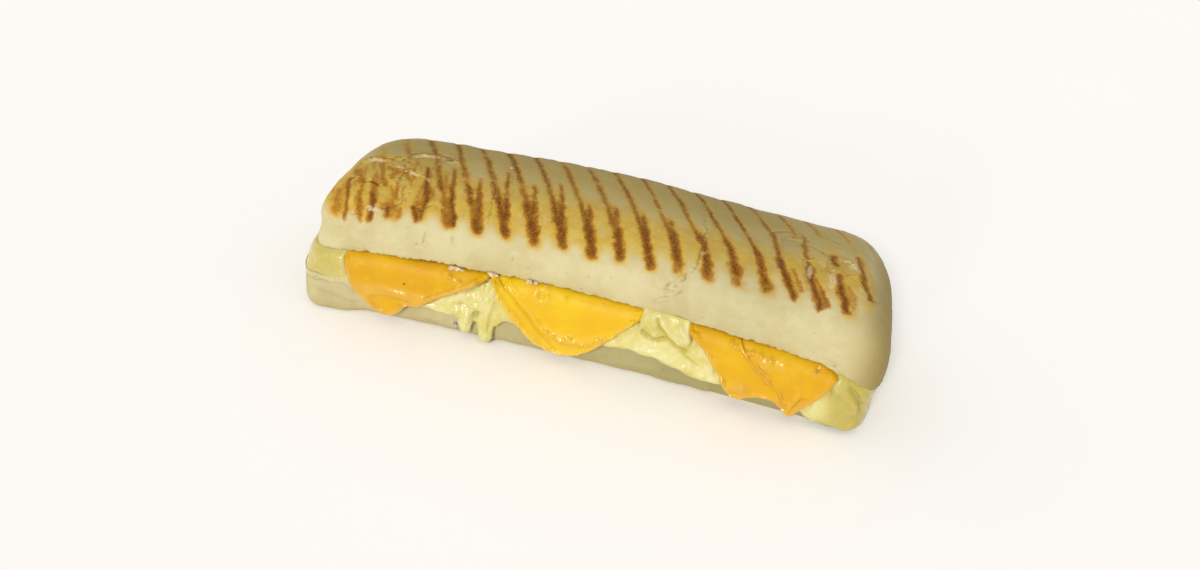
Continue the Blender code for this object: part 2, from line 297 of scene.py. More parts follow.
def grid_object(name, points, finish, values, front_count):
    """An object whose faces join neighbouring points of a grid that closes along its first index.

    The front has twice the stations of the back, so on the spine each second one there takes its
    neighbour's point, which makes the front and the back meet point by point.
    """
    for row in (0, -1):
        points[1:front_count:2, row] = points[0:front_count:2, row]
    quads = grid_quads(*points.shape[:2], True)
    return face_object(name, points.reshape(-1, 3), quads, finish, values)


def face_object(name, points, quads, finish, values):
    """An object from points in millimetres and quads, welded and facing outwards."""
    points = held_in_box(points)
    corners = points[quads]
    middles = np.cross(corners[:, 2] - corners[:, 0], corners[:, 3] - corners[:, 1])
    if np.sum(middles * corners.mean(axis=1)) < 0.0:
        quads = quads[:, ::-1]
    mesh = bpy.data.meshes.new(name)
    mesh.vertices.add(len(points))
    mesh.vertices.foreach_set("co", ((points + LOAF_MIDDLE) * MM).ravel())
    mesh.loops.add(quads.size)
    mesh.loops.foreach_set("vertex_index", quads.ravel())
    mesh.polygons.add(len(quads))
    mesh.polygons.foreach_set("loop_start", np.arange(0, quads.size, 4))
    mesh.update(calc_edges=True)
    for title, value in values.items():
        layer = mesh.attributes.new(title, "FLOAT", "POINT")
        layer.data.foreach_set("value", np.ascontiguousarray(value, dtype=np.float32).ravel())
    solid = bmesh.new()
    solid.from_mesh(mesh)
    bmesh.ops.remove_doubles(solid, verts=solid.verts, dist=WELD)
    solid.to_mesh(mesh)
    solid.free()
    mesh.shade_smooth()
    mesh.materials.append(finish)
    made = bpy.data.objects.new(name, mesh)
    bpy.context.scene.collection.objects.link(made)
    return made


def paint(red, green, blue, share=PAINT_SHARE):
    """A colour of the finished picture, 0 to 255, as the linear colour that gives it in this light."""
    parts = []
    for part in (red, green, blue):
        part = part / 255.0
        parts.append(share * (part / 12.92 if part <= 0.04045 else ((part + 0.055) / 1.055) ** 2.4))
    return (*parts, 1.0)


class Signal:
    """One socket of a finish's node tree, on which Python's operators add Math nodes."""

    def __init__(self, finish, socket):
        self.finish = finish
        self.socket = socket

    def math(self, operation, first, second):
        return self.finish.node("ShaderNodeMath", {"operation": operation}, {0: first, 1: second})

    def __add__(self, other):
        return self.math("ADD", self, other)

    def __radd__(self, other):
        return self.math("ADD", other, self)

    def __sub__(self, other):
        return self.math("SUBTRACT", self, other)

    def __rsub__(self, other):
        return self.math("SUBTRACT", other, self)

    def __mul__(self, other):
        return self.math("MULTIPLY", self, other)

    def __rmul__(self, other):
        return self.math("MULTIPLY", other, self)

    def eased(self, low, high):
        """0 below low, 1 above high and an even rise in between."""
        values = {"Value": self, "From Min": low, "From Max": high}
        return self.finish.node("ShaderNodeMapRange", {"interpolation_type": "SMOOTHSTEP"}, values)


class Finish:
    """A material with one Principled shader, whose nodes are added by the methods here."""

    def __init__(self, name):
        self.material = bpy.data.materials.new(name)
        self.material.use_nodes = True
        self.tree = self.material.node_tree
        self.shader = self.tree.nodes["Principled BSDF"]
        self.place = self.node("ShaderNodeTexCoord", {}, {}, "Object")

    def node(self, kind, settings, sockets, output=0):
        """Add a node, set its settings, fill its sockets and give one output."""
        made = self.tree.nodes.new(kind)
        for setting, value in settings.items():
            setattr(made, setting, value)
        for socket, value in sockets.items():
            self.fill(made.inputs[socket], value)
        return Signal(self, made.outputs[output])

    def fill(self, socket, value):
        """Link a signal to a socket, or set a plain value on it."""
        if isinstance(value, Signal):
            self.tree.links.new(value.socket, socket)
        else:
            socket.default_value = value

    def value(self, name):
        """A named value on the mesh's points."""
        return self.node("ShaderNodeAttribute", {"attribute_name": name}, {}, "Fac")

    def grain(self, size, detail=3.0):
        """Noise from 0 to 1 whose swells are about the given size in millimetres."""
        sockets = {"Vector": self.place, "Scale": 1.0 / (size * MM), "Detail": detail, "Roughness": 0.55}
        return self.node("ShaderNodeTexNoise", {}, sockets)

    def blend(self, amount, first, second):
        """A colour between two others."""
        sockets = {0: amount, 6: first, 7: second}
        return self.node("ShaderNodeMix", {"data_type": "RGBA"}, sockets, 2)

    def burnt(self, amount, colour, tint):
        """A colour darkened towards its product with a tint."""
        sockets = {0: amount, 6: colour, 7: tint}
        return self.node("ShaderNodeMix", {"data_type": "RGBA", "blend_type": "MULTIPLY"}, sockets, 2)

    def blisters(self, size):
        """Rounded cells of the given size in millimetres, 1 at their middles."""
        sockets = {"Vector": self.place, "Scale": 1.0 / (size * MM), "Smoothness": 0.6}
        return 1.0 - self.node("ShaderNodeTexVoronoi", {"feature": "SMOOTH_F1"}, sockets)

    def surface(self, colour, roughness, relief, depth, **constants):
        """Feed the shader: colour, roughness, a relief of that depth in millimetres, constants."""
        self.fill(self.shader.inputs["Base Color"], colour)
        self.fill(self.shader.inputs["Roughness"], roughness)
        sockets = {"Height": relief, "Distance": depth * MM, "Strength": 1.0}
        self.fill(self.shader.inputs["Normal"], self.node("ShaderNodeBump", {}, sockets))
        for name, value in constants.items():
            self.shader.inputs[name.replace("_", " ")].default_value = value
        return self.material


# Grill marks. Two pressings left two sets of lines, each x + lean * y = start + number * pitch
EARLY_MARKS = dict(lean=0.50, start=-68.0, pitch=12.58)
LATE_MARKS = dict(lean=0.32, start=-60.5, pitch=12.10)
# How low the marks reach down the front shoulder, as (x, height)
MARK_FOOT = (
    (-127, 46.5), (-105, 48.0), (-86, 51.2), (-75, 52.2), (-60, 52.8), (-5, 53.0), (15, 53.8), (35, 54.4),
    (60, 54.2), (85, 53.8), (110, 53.2),
)
BACK_FOOT = 53.5
# Where each late line starts, as y, from its number FIRST_LATE on
FIRST_LATE = -6
LATE_STARTS = (
    -24.0, -19.0, -26.0, -32.0, -2.0, 2.0, -4.0, 6.0, -1.0, 5.0, -8.0, -5.0, -5.0, -3.0, -8.0, -8.0, -8.0,
    -8.0, -8.0, -8.0,
)
# Plates of crust that came off the ribs, where the marks are faint: middle, half sizes, how faint
PLATES = (
    ((-96.0, -22.0), (11.0, 22.0), 0.90), ((-84.5, -20.0), (6.5, 19.0), 0.85),
    ((-89.0, 2.0), (8.5, 7.0), 0.80), ((-108.0, -7.0), (6.5, 6.0), 0.60),
    ((94.0, -13.0), (25.0, 27.0), 0.92),
)

# Separate charred streaks where the crust is blistered: trail of (x, y), half width, strength
STREAKS = (
    (((-112.5, -21.7), (-108.2, -32.7), (-105.8, -41.0)), 1.2, 0.80),
    (((-113.2, -29.9), (-110.5, -38.5)), 2.4, 0.55), (((-104.2, -30.5), (-99.1, -39.9)), 1.7, 0.65),
    (((-98.5, -29.0), (-97.0, -32.4), (-95.2, -39.4)), 1.4, 0.98),
    (((-89.4, -34.4), (-88.3, -36.9)), 1.4, 1.00), (((-84.7, -33.8), (-83.5, -36.8)), 1.2, 0.55),
    (((-78.9, -31.8), (-75.3, -36.1)), 1.6, 1.00),
    (((-84.2, -3.8), (-80.9, -11.8), (-75.4, -27.5)), 1.6, 0.95),
    (((-75.4, -27.5), (-73.4, -35.4)), 1.3, 0.85), (((-73.2, 0.4), (-67.4, -16.1)), 0.9, 0.75),
    (((-67.4, -16.1), (-63.6, -26.9), (-60.3, -35.1)), 1.2, 1.02),
    (((-66.6, -30.4), (-62.1, -36.0)), 1.3, 0.70),
    (((-106.0, -1.4), (-99.1, -16.4), (-95.9, -21.7)), 1.8, 0.62),
    (((-112.7, -12.4), (-106.5, -23.5)), 2.4, 0.60), (((-101.8, -22.5), (-99.8, -23.3)), 1.2, 1.10),
    (((-98.9, -8.7), (-92.6, -12.4), (-94.5, -15.5)), 2.3, 0.62),
    (((-91.3, 23.3), (-83.1, 4.1), (-76.6, -10.0)), 1.1, 0.70),
    (((-93.0, -22.0), (-90.0, -27.0)), 1.2, 0.45), (((-87.0, -21.0), (-84.5, -31.0)), 1.0, 0.40),
    (((-80.5, -18.0), (-79.0, -27.0)), 1.1, 0.45), (((-108.5, -18.0), (-103.5, -29.0)), 1.5, 0.50),
    (((-101.8, 16.6), (-98.5, 9.1)), 1.4, 0.60), (((67.7, 6.4), (73.4, -12.0)), 1.3, 0.85),
    (((73.4, -12.0), (78.0, -23.9), (82.4, -32.4)), 1.9, 1.0), (((81.2, 10.1), (85.7, -12.3)), 1.3, 0.75),
    (((85.7, -12.3), (88.7, -25.6), (93.2, -34.6)), 1.9, 0.95),
    (((93.0, -27.0), (95.6, -32.8)), 1.5, 0.75), (((94.9, -1.0), (96.6, -5.6)), 1.8, 0.95),
    (((98.1, -13.5), (100.3, -25.1)), 1.7, 0.80), (((99.6, -21.0), (103.6, -33.4)), 1.6, 1.00),
    (((105.9, 2.9), (109.0, -13.1), (111.2, -22.3)), 1.5, 0.85),
    (((102.5, -20.0), (106.0, -29.0)), 1.6, 0.45), (((89.6, -20.0), (93.0, -30.0)), 1.0, 0.55),
    (((80.0, -18.0), (84.5, -29.0)), 1.3, 0.50), (((87.0, -22.0), (92.0, -32.5)), 2.6, 0.42),
    (((100.8, -22.0), (105.6, -31.0)), 2.5, 0.42), (((76.8, -20.0), (82.8, -31.0)), 2.4, 0.40),
    (((93.6, -1.0), (96.2, -8.0)), 2.6, 0.40),
)


def grill_marks(x, y, z):
    """How charred the crust is by the marks, and how golden it is round them.

    A mark fades with the distance from its line and towards its foot on the shoulder. The late
    lines show only in front, and the early ones give way to them at the right front.
    """
    wander = 0.45 * swell(x, y, z, 12.0, 31) + 0.35 * swell(x, y, z, 3.5, 32)
    fuzzy = 1.0 + 0.30 * swell(x, y, z, 2.4, 34) + 0.22 * swell(x, y, z, 1.0, 35)
    foot = np.where(y > 0.0, BACK_FOOT, curve_through(MARK_FOOT, x))
    in_front = smooth(-y, 2.0, 24.0)
    far_left = smooth(-x, 92.0, 106.0)
    bare, plain = 1.0, 1.0
    for late, lines in enumerate((EARLY_MARKS, LATE_MARKS)):
        offset = x + lines["lean"] * y + wander - lines["start"]
        offset = offset + 3.5 * late * smooth(x, 68.0, 106.0) * smooth(-y, 14.0, 24.0)
        number = np.round(offset / lines["pitch"])
        away = np.abs(offset - number * lines["pitch"]) * math.cos(math.atan(lines["lean"]))
        number = number.astype(np.int64)
        luck = chance(number, np.int64(3), np.int64(late), 5)
        other = chance(number, np.int64(8), np.int64(late), 6)
        if not late:
            half = 1.75 + 0.10 * in_front - 0.50 * smooth(x, -20.0, 60.0)
            strength = 1.0 - 0.85 * smooth(x, 22.0, 60.0) * smooth(-y, 8.0, 20.0)
            strength = strength * (0.92 + 0.08 * luck - 0.20 * hill(y, -5.0, 12.0))
            strength = strength * (1.0 - 0.35 * smooth(x, 60.0, 90.0) * smooth(y, -4.0, 6.0))
        else:
            half = 1.15 + (0.75 + 0.60 * smooth(x, 30.0, 60.0)) * in_front
            begins = np.array(LATE_STARTS)[np.clip(number - FIRST_LATE, 0, len(LATE_STARTS) - 1)]
            strength = smooth(begins - y, -2.5, 4.5)
            strength = strength * (0.84 + 0.06 * other + 0.10 * smooth(-y, 12.0, 26.0))
        strength = strength * (1.0 - 0.34 * smooth(layered(x, y, z, 5.0, 36, 2), 0.0, 0.9))
        low = foot + 1.0 * other + 0.5 * swell(x, y, z, 3.0, 33)
        reached = smooth(z, low - 0.6, low + 2.2)
        bare = bare * (1.0 - strength * reached * np.exp(-(away / (half * fuzzy)) ** 2))
        warmed = smooth(z, low - 2.0, low + 1.2)
        plain = plain * (1.0 - 0.90 * strength * warmed * np.exp(-(away / (1.75 * half)) ** 2))
    tanned = smooth(z, foot + 0.6, foot + 5.0) * (1.0 - smooth(y, -15.0, 8.0))
    tanned = tanned * (1.0 + 0.35 * swell(x, y, z, 6.0, 38))
    plain = plain * (1.0 - 0.80 * np.clip(tanned, 0.0, 1.0))
    faint = 1.0
    for (middle_x, middle_y), (half_x, half_y), share in PLATES:
        away = np.hypot((x - middle_x) / half_x, (y - middle_y) / half_y) + 0.15 * swell(x, y, z, 3.0, 37)
        faint = faint * (1.0 - share * (1.0 - smooth(away, 0.70, 1.15)))
    paler = (1.0 - 0.60 * far_left) * (1.0 - 0.32 * hill(x, -76.0, 32.0) * smooth(-y, 18.0, 28.0))
    charred = (1.0 - bare) * faint * paler
    for trail, half, strength in STREAKS:
        away = trail_distance(x + 2.0 * wander, y, trail) / (half * fuzzy)
        charred = np.maximum(charred, strength * np.exp(-away * away) * smooth(z, 44.6, 50.4))
    return charred, 1.0 - plain


# Patches where the blistered skin has peeled: middle, half sizes, turn in degrees, depth, and how
# much of a torn rim stands at the back edge
PEELED = (
    dict(middle=(-105.0, -12.5), half=(8.0, 10.0), turn=15.0, deep=1.0, torn=0.8),
    dict(middle=(-97.0, -7.5), half=(5.5, 7.0), turn=-10.0, deep=0.8, torn=0.5),
    dict(middle=(-86.0, 0.5), half=(8.6, 8.8), turn=12.0, deep=1.5, torn=1.0),
    dict(middle=(-84.0, -20.0), half=(7.0, 10.0), turn=14.0, deep=0.9, torn=1.0),
    dict(middle=(-92.8, -27.5), half=(6.4, 6.6), turn=10.0, deep=0.9, torn=0.2),
    dict(middle=(-72.0, -10.0), half=(7.2, 17.0), turn=20.0, deep=0.9, torn=0.7),
    dict(middle=(79.0, 0.0), half=(6.0, 8.0), turn=5.0, deep=1.0, torn=0.3),
    dict(middle=(88.5, -14.0), half=(4.4, 8.0), turn=20.0, deep=0.6, torn=0.9),
    dict(middle=(99.0, -9.0), half=(6.0, 7.5), turn=10.0, deep=0.8, torn=1.0),
    dict(middle=(106.0, -19.0), half=(5.0, 7.5), turn=20.0, deep=0.8, torn=0.6),
)
PATCH_POWER = 2.6
# Where the crust is golden all over, as ellipses: middle, half sizes, how golden
BLISTERED = (((-90.0, -15.0), (27.0, 22.0), 1.0), ((92.0, -15.0), (19.0, 20.0), 0.55))
# Cracks: trail of (x, y) in plan, half width, depth, and how much pale crumb shows beside it
CRACKS = (
    (((35.7, 20.2), (38.0, 10.7), (40.4, -1.4), (42.7, -12.4), (43.5, -19.3), (42.0, -24.8),
      (42.0, -28.5), (40.4, -32.2), (38.6, -34.2), (37.4, -36.0)), 0.42, 0.8, 0.55),
    (((-51.3, 9.5), (-49.0, 8.0), (-46.0, 0.0), (-42.5, -9.8), (-42.1, -17.9)), 0.4, 0.5, 0.5),
    (((-53.5, -5.0), (-50.0, -12.0), (-48.5, -17.0), (-47.0, -25.9), (-45.5, -31.0)), 0.45, 0.8, 0.6),
    (((-28.4, 11.9), (-28.7, 2.0), (-31.5, -7.4), (-34.0, -12.0)), 0.35, 0.35, 0.4),
    (((-33.0, -9.0), (-30.0, -15.0), (-28.1, -20.7), (-25.0, -22.4), (-23.6, -28.8)), 0.35, 0.4, 0.5),
    (((-95.0, -35.2), (-91.5, -35.6), (-88.0, -34.2)), 0.5, 0.9, 0.0),
    (((-87.0, -32.2), (-79.5, -31.4), (-75.0, -32.0), (-72.5, -31.0), (-70.0, -28.5), (-67.5, -29.2)),
      0.5, 0.9, 0.1),
    (((-103.0, -1.5), (-97.0, -1.0), (-92.5, -0.2)), 0.7, 1.2, 0.0),
    (((-84.5, 9.5), (-80.0, 9.0), (-76.5, 6.5)), 0.6, 1.2, 0.0),
    (((-96.0, -17.0), (-91.5, -15.5)), 0.6, 1.0, 0.0),
    (((-104.5, -22.5), (-100.5, -21.5)), 0.8, 1.2, 0.1),
    (((67.7, 7.6), (73.4, 11.0), (79.7, 13.2), (82.6, 8.9)), 0.6, 1.0, 0.2),
    (((83.5, 9.2), (86.5, 4.0), (91.0, -1.0)), 0.5, 0.9, 0.2),
    (((103.0, -13.0), (108.0, -17.0), (111.0, -22.0), (116.0, -20.0)), 0.4, 0.6, 0.4),
    (((86.0, 17.0), (92.0, 12.5), (99.0, 9.5)), 0.4, 0.5, 0.0),
)
# Cracks on the pale side below the zigzag one: trail of (x, height)
SIDE_CRACKS = (
    ((37.6, 53.0), (36.0, 50.9), (34.2, 50.4)), ((35.4, 49.4), (33.2, 48.4), (31.4, 48.8)),
    ((38.8, 49.8), (36.6, 47.6), (34.2, 46.6), (31.4, 45.4), (28.6, 43.6)), ((33.6, 51.6), (32.2, 50.2)),
    ((-71.0, 50.5), (-70.4, 47.6), (-70.9, 45.0)), ((-58.6, 50.0), (-58.2, 47.4)),
)
# Patches where the skin is torn off and pale crumb shows: middle, half sizes
BARE_CRUMB = (
    ((-95.2, -36.2), (4.2, 1.4)), ((-88.5, -10.5), (5.0, 1.0)), ((-94.5, -7.4), (3.0, 1.0)),
    ((-107.5, -3.6), (4.0, 1.0)), ((-88.0, 8.2), (5.0, 0.9)), ((-49.5, 8.6), (1.6, 1.2)),
    ((42.6, -22.5), (0.7, 4.0)), ((86.2, -16.0), (1.5, 5.5)), ((95.6, -17.5), (2.2, 8.0)),
    ((103.6, -4.4), (2.6, 3.4)), ((91.5, -9.0), (1.0, 2.6)),
)
# Small pores in the skin, dark with painted shade: (x, y, radius, depth), the larger ones below the
# zigzag crack
PORES = ((9.0, 14.2, 0.7, -0.5), (-83.5, -24.5, 0.6, -0.6))
SIDE_PORES = (
    (32.6, 49.8, 0.5, -0.4), (35.2, 47.9, 0.5, -0.4), (37.6, 46.6, 0.4, -0.3), (-66.0, 42.4, 0.4, -0.4),
    (-5.5, 45.0, 0.35, -0.3), (60.0, 44.0, 0.35, -0.3), (84.0, 43.0, 0.35, -0.3), (21.0, 47.0, 0.3, -0.3),
)


def peeled_patches(x, y, z):
    """Depth of the peeled patches, the pale torn rims and the painted shade in the gaps at their edges.

    A patch is a squared ellipse with a ragged edge. It deepens from its front edge to its back
    edge, where the skin is torn: the rim is bare crumb and the crust behind it is in shade.
    """
    ragged = 0.10 * swell(x, y, z, 5.0, 41) + 0.07 * swell(x, y, z, 2.0, 42)
    ragged = ragged + 0.04 * swell(x, y, z, 0.9, 43)
    depth, rim, crevice_shade = 0.0, 0.0, 0.0
    for patch in PEELED:
        turn = math.radians(patch["turn"])
        east = x - patch["middle"][0]
        north = y - patch["middle"][1]
        across = (east * math.cos(turn) + north * math.sin(turn)) / patch["half"][0]
        along = (north * math.cos(turn) - east * math.sin(turn)) / patch["half"][1]
        away = (np.abs(across) ** PATCH_POWER + np.abs(along) ** PATCH_POWER) ** (1.0 / PATCH_POWER)
        away = away + ragged
        inside = 1.0 - smooth(away, 0.95, 1.03)
        deeper = 0.25 + 0.75 * smooth(along, -0.8, 0.9)
        depth = np.maximum(depth, patch["deep"] * inside * deeper)
        at_back = smooth(along, 0.05, 0.6)
        broken = smooth(swell(x, y, z, 2.6, 58), -0.5, 0.3)
        rim = np.maximum(rim, patch["torn"] * at_back * hill(away, 0.96, 0.09) * broken)
        crevice_shade = np.maximum(crevice_shade, (0.4 + 0.6 * at_back) * hill(away, 1.05, 0.06) * smooth(deeper, 0.3, 0.8))
    return depth, rim, crevice_shade


def crust_features(x, y, z):
    """All that marks the crown's skin: relief, char, gold, bare crumb, painted shade in its cracks, pits
    and gaps, the olive top, which is partly painted shade, and painted shade on the right half and the
    right end.
    """
    mark, glow = grill_marks(x, y, z)
    sunk, rim, crevice_shade = peeled_patches(x, y, z)
    upper = smooth(z, 46.0, 50.0)
    sunk, rim, crevice_shade = sunk * upper, rim * upper, crevice_shade * upper
    golden = 0.0
    for (middle_x, middle_y), (half_x, half_y), share in BLISTERED:
        away = np.hypot((x - middle_x) / half_x, (y - middle_y) / half_y) + 0.16 * swell(x, y, z, 7.0, 44)
        golden = np.maximum(golden, share * (1.0 - smooth(away, 0.80, 1.05)))
    foot = curve_through(MARK_FOOT, x)
    golden = golden * smooth(z, foot - 1.5, foot + 1.5)
    glow = np.maximum(glow, (0.80 + 0.15 * swell(x, y, z, 4.0, 60)) * golden)
    streaks = smooth(layered(x + 0.4 * y, 0.3 * y, z, 3.2, 68, 2), -0.1, 0.9)
    mark = np.maximum(mark, (0.46 * streaks + 0.08) * golden * (1.0 - 0.6 * rim))
    lift = -sunk - 0.35 * rim
    crumb = 0.9 * rim
    for (middle_x, middle_y), (half_x, half_y) in BARE_CRUMB:
        away = np.hypot((x - middle_x) / half_x, (y - middle_y) / half_y)
        away = away + 0.30 * swell(x, y, z, 1.8, 45) + 0.25 * swell(x, y, z, 0.9, 46)
        shown = 0.85 - 0.15 * (middle_x > 0.0)
        crumb = np.maximum(crumb, shown * (1.0 - smooth(away, 0.45, 1.15)) * upper)
    shaken_x = x + 0.9 * swell(x, y, z, 3.0, 47) + 0.45 * swell(x, y, z, 1.2, 48)
    shaken_y = y + 0.9 * swell(x, y, z, 3.0, 49) + 0.45 * swell(x, y, z, 1.2, 50)
    groove = 0.0
    for trail, half, depth, pale in CRACKS:
        away = trail_distance(shaken_x, shaken_y, trail)
        broken = 0.35 + 0.65 * smooth(swell(x, y, z, 1.6, 51), -0.5, 0.4)
        cleft = np.exp(-(away / half) ** 2) * broken * upper
        groove = np.maximum(groove, depth * cleft)
        crevice_shade = np.maximum(crevice_shade, cleft * (1.0 - 0.55 * pale))
        lip = np.exp(-((away - 0.9) / 0.5) ** 2) * upper
        crumb = np.maximum(crumb, pale * lip * (0.35 + 0.65 * smooth(swell(x, y, z, 1.1, 52), -0.3, 0.5)))
        lift = lift + 0.40 * lip * depth * pale
    in_front = smooth(-y, 20.0, 30.0)
    shaken_x = x + 0.6 * swell(x, z, 0.0, 1.8, 59)
    shaken_z = z + 0.6 * swell(x, z, 9.0, 1.8, 59)
    for trail in SIDE_CRACKS:
        away = trail_distance(shaken_x, shaken_z, trail)
        broken = smooth(swell(x, y, z, 1.3, 51), -0.5, 0.4)
        cleft = np.exp(-(away / 0.42) ** 2) * broken * in_front
        groove = np.maximum(groove, 0.7 * cleft)
        crevice_shade = np.maximum(crevice_shade, 0.60 * cleft)
        lip = np.exp(-((away - 1.0) / 0.5) ** 2) * in_front
        crumb = np.maximum(crumb, 0.75 * lip * smooth(swell(x, y, z, 1.1, 52), -0.2, 0.5))
        lift = lift + 0.35 * lip
    pits = dots(x, y, PORES) * upper + dots(x, z, SIDE_PORES) * in_front
    fine = smooth(swell(x, y, z, 2.3, 53), 0.80, 0.93) * (1.0 - smooth(z, 53.0, 56.0))
    uneven = 0.45 * swell(x, y, z, 27.0, 54) + 0.30 * swell(x, y, z, 10.0, 55)
    uneven = uneven + 0.10 * layered(x, y, z, 3.0, 56)
    relief = lift - uneven - groove - 0.35 * mark - 0.25 * fine + pits
    relief = relief + (0.16 * crumb + 0.10 * golden) * layered(x, y, z, 1.6, 57)
    # Cracks, pits and pores are darkened as painted shade in them.
    crevice_shade = np.clip(crevice_shade + 0.55 * fine + 1.4 * np.abs(pits), 0.0, 1.0)
    # Olive on the top: partly the crust's own colour, partly painted shade where the top tilts away from
    # the light. The olive at the right end is painted shade.
    olive_and_shade = smooth(z, 50.0, 58.5) * smooth(y, -26.0, 14.0)
    olive_and_shade = np.maximum(olive_and_shade * (1.0 - 0.15 * smooth(x, 50.0, 90.0)), smooth(x, 102.0, 122.0))
    # Painted shade over the right half of the crown, deepest at the right end, away from the light.
    painted_shade = np.maximum(0.45 * hill(x, 62.0, 42.0), smooth(x, 106.0, 122.0))
    return relief, dict(mark=mark, glow=glow, crumb=crumb, crevice_shade=crevice_shade, olive_and_shade=olive_and_shade, painted_shade=painted_shade)


# Rows under the crown's rim, each as a share of its reach and a share of its tear
RIM = ((0.985, 0.5), (0.972, 0.1), (0.955, 0.0), (0.60, 0.0))


def dome_rows():
    """Share of the reach and level of each row over the dome, evenly spaced along its curve.

    With an angle from the top, share ** power is the sine squared and level is the cosine.
    """
    angle = np.linspace(0.0, 1.0, 4000) ** 1.6 * 0.5 * np.pi
    share, level = np.sin(angle) ** (2.0 / CROWN_POWER), np.cos(angle)
    steps = np.hypot(np.diff(share) * SIDE_REACH, np.diff(level) * (CROWN_TOP - CROWN_WIDEST))
    length = np.concatenate(((0.0,), np.cumsum(steps)))
    even = np.interp(np.linspace(0.0, length[-1], DOME_ROWS), length, angle)
    return np.sin(even) ** (2.0 / CROWN_POWER), np.cos(even)


def crown(finish):
    """The upper half of the roll: a dome that turns down to a torn rim, hollow nowhere."""
    around = stations(CROWN_FRONT, CROWN_END, CROWN_FRONT // 2)
    right_end = np.maximum(0.0, around[1])
    widest = SIDE_REACH + CROWN_LONGER * right_end
    rim_x, rim_y = plan(around, widest)
    cut = cut_height(rim_x)
    share, level = dome_rows()
    top_x, top_y = plan(around, widest * share)
    dome_height = CROWN_WIDEST + (crown_height(top_x) - CROWN_WIDEST) * level
    fall = np.linspace(0.0, 1.0, SIDE_ROWS + 1)[1:]
    torn = 0.22 + 0.35 * swell(rim_x, rim_y, 0.0, 7.0, 61) + 0.30 * swell(rim_x, rim_y, 0.0, 2.6, 62)
    torn = np.maximum(-0.30, torn + 0.20 * swell(rim_x, rim_y, 0.0, 1.2, 63))
    torn = torn * (1.0 - 0.6 * smooth(np.abs(rim_x), 104.0, 112.0))
    side_height = CROWN_WIDEST - fall * (CROWN_WIDEST - cut - torn)
    side_reach = widest * (1.0 - (1.0 - RIM_REACH) * fall ** 2.1)
    under_reach = [widest * RIM_REACH * part for part, _ in RIM]
    under_height = [cut + torn * part for _, part in RIM]
    reach = np.hstack([widest * share, side_reach, *under_reach, 0.0 * widest])
    height = np.hstack([dome_height, side_height, *under_height, cut_height(around[0])])
    upward = (height - cut) / (CROWN_TOP - cut)
    reach = reach * (1.0 - CROWN_LEAN * right_end * upward * upward / SIDE_REACH)
    left_end = np.maximum(0.0, -around[1])
    leaning = LEFT_LEAN * left_end * smooth(upward, 0.0, 0.40) * (1.0 - smooth(upward, 0.60, 0.95))
    reach = reach * (1.0 - leaning)
    points = carried(around, reach, height)
    x, y, z = np.moveaxis(points, -1, 0)
    relief, values = crust_features(x, y, z)
    row = np.arange(points.shape[1])
    rim_row = DOME_ROWS + SIDE_ROWS
    outside = 1.0 - smooth(row, rim_row - 3.0, rim_row + 1.0)
    ragged = 0.35 * layered(x, y, z, 1.5, 64) * hill(row, rim_row - 1.0, 5.0)
    points = points + facing(points) * (relief * outside + ragged)[..., None]
    # Rows where the side turns under to the cut edge, darkened in the finish as painted shade.
    values["rim"] = np.broadcast_to(smooth(row, rim_row - 3.0, rim_row), x.shape)
    return grid_object("crown", points, finish, values, CROWN_FRONT)


def crust_finish():
    """Pale skin, olive on top as its colour and as painted shade, golden round the marks, charred in
    them, with bare crumb, and painted shade in the gaps, along the cut edge and on the right.
    """
    finish = Finish("grilled crust")
    mark, glow, crumb = finish.value("mark"), finish.value("glow"), finish.value("crumb")
    crevice_shade, olive_and_shade, rim = finish.value("crevice_shade"), finish.value("olive_and_shade"), finish.value("rim")
    broad, middling = finish.grain(22.0), finish.grain(5.0)
    fine, dust = finish.grain(0.9), finish.grain(0.45, 2.0)
    skin = finish.blend(broad.eased(0.35, 0.68), paint(221, 209, 160), paint(211, 196, 143))
    skin = finish.blend(middling.eased(0.45, 0.75) * 0.5, skin, paint(226, 215, 171))
    # Olive on the top and at the right end: partly the crust's colour, partly painted shade.
    skin = finish.blend(olive_and_shade * (0.84 + 0.25 * middling), skin, paint(177, 155, 88))
    gold = finish.blend(middling.eased(0.3, 0.7), paint(212, 170, 54), paint(220, 187, 74))
    gold = finish.blend(fine.eased(0.5, 0.75) * 0.4, gold, paint(202, 148, 40))
    gold = finish.blend(olive_and_shade * 0.70, gold, paint(176, 148, 74))
    skin = finish.blend(glow.eased(0.05, 1.0) * 0.95, skin, gold)
    char = mark * (0.66 + 0.28 * fine.eased(0.32, 0.66)) + 0.16 * mark * (dust - 0.5)
    skin = finish.blend(char.eased(0.06, 0.45) * (0.85 - 0.55 * olive_and_shade), skin, paint(190, 128, 26))
    skin = finish.burnt(char.eased(0.18, 0.95), skin, (0.33, 0.20, 0.10, 1.0))
    # Painted shade: the right half and the right end darkened.
    skin = finish.burnt(finish.value("painted_shade") * 0.4, skin, (0.60, 0.60, 0.66, 1.0))
    pale = finish.blend(fine.eased(0.4, 0.7), paint(232, 216, 172), paint(212, 186, 122))
    skin = finish.blend(crumb.eased(0.2, 0.9) * 0.85, skin, pale)
    # Painted shade along the crown's cut edge, where the side turns under.
    skin = finish.blend(rim * 0.45, skin, paint(200, 178, 124))
    # Painted shade, in brown, in the cracks, pits, pores and the gaps at the patches' edges.
    skin = finish.blend(crevice_shade.eased(0.25, 0.95) * 0.72, skin, paint(126, 84, 34))
    relief = middling * 0.5 + fine * 0.35 + dust * 0.2
    rough = 0.52 + 0.2 * fine
    return finish.surface(skin, rough, relief, 0.35, Specular_IOR_Level=0.18,
                          Subsurface_Weight=0.06, Subsurface_Scale=0.002)


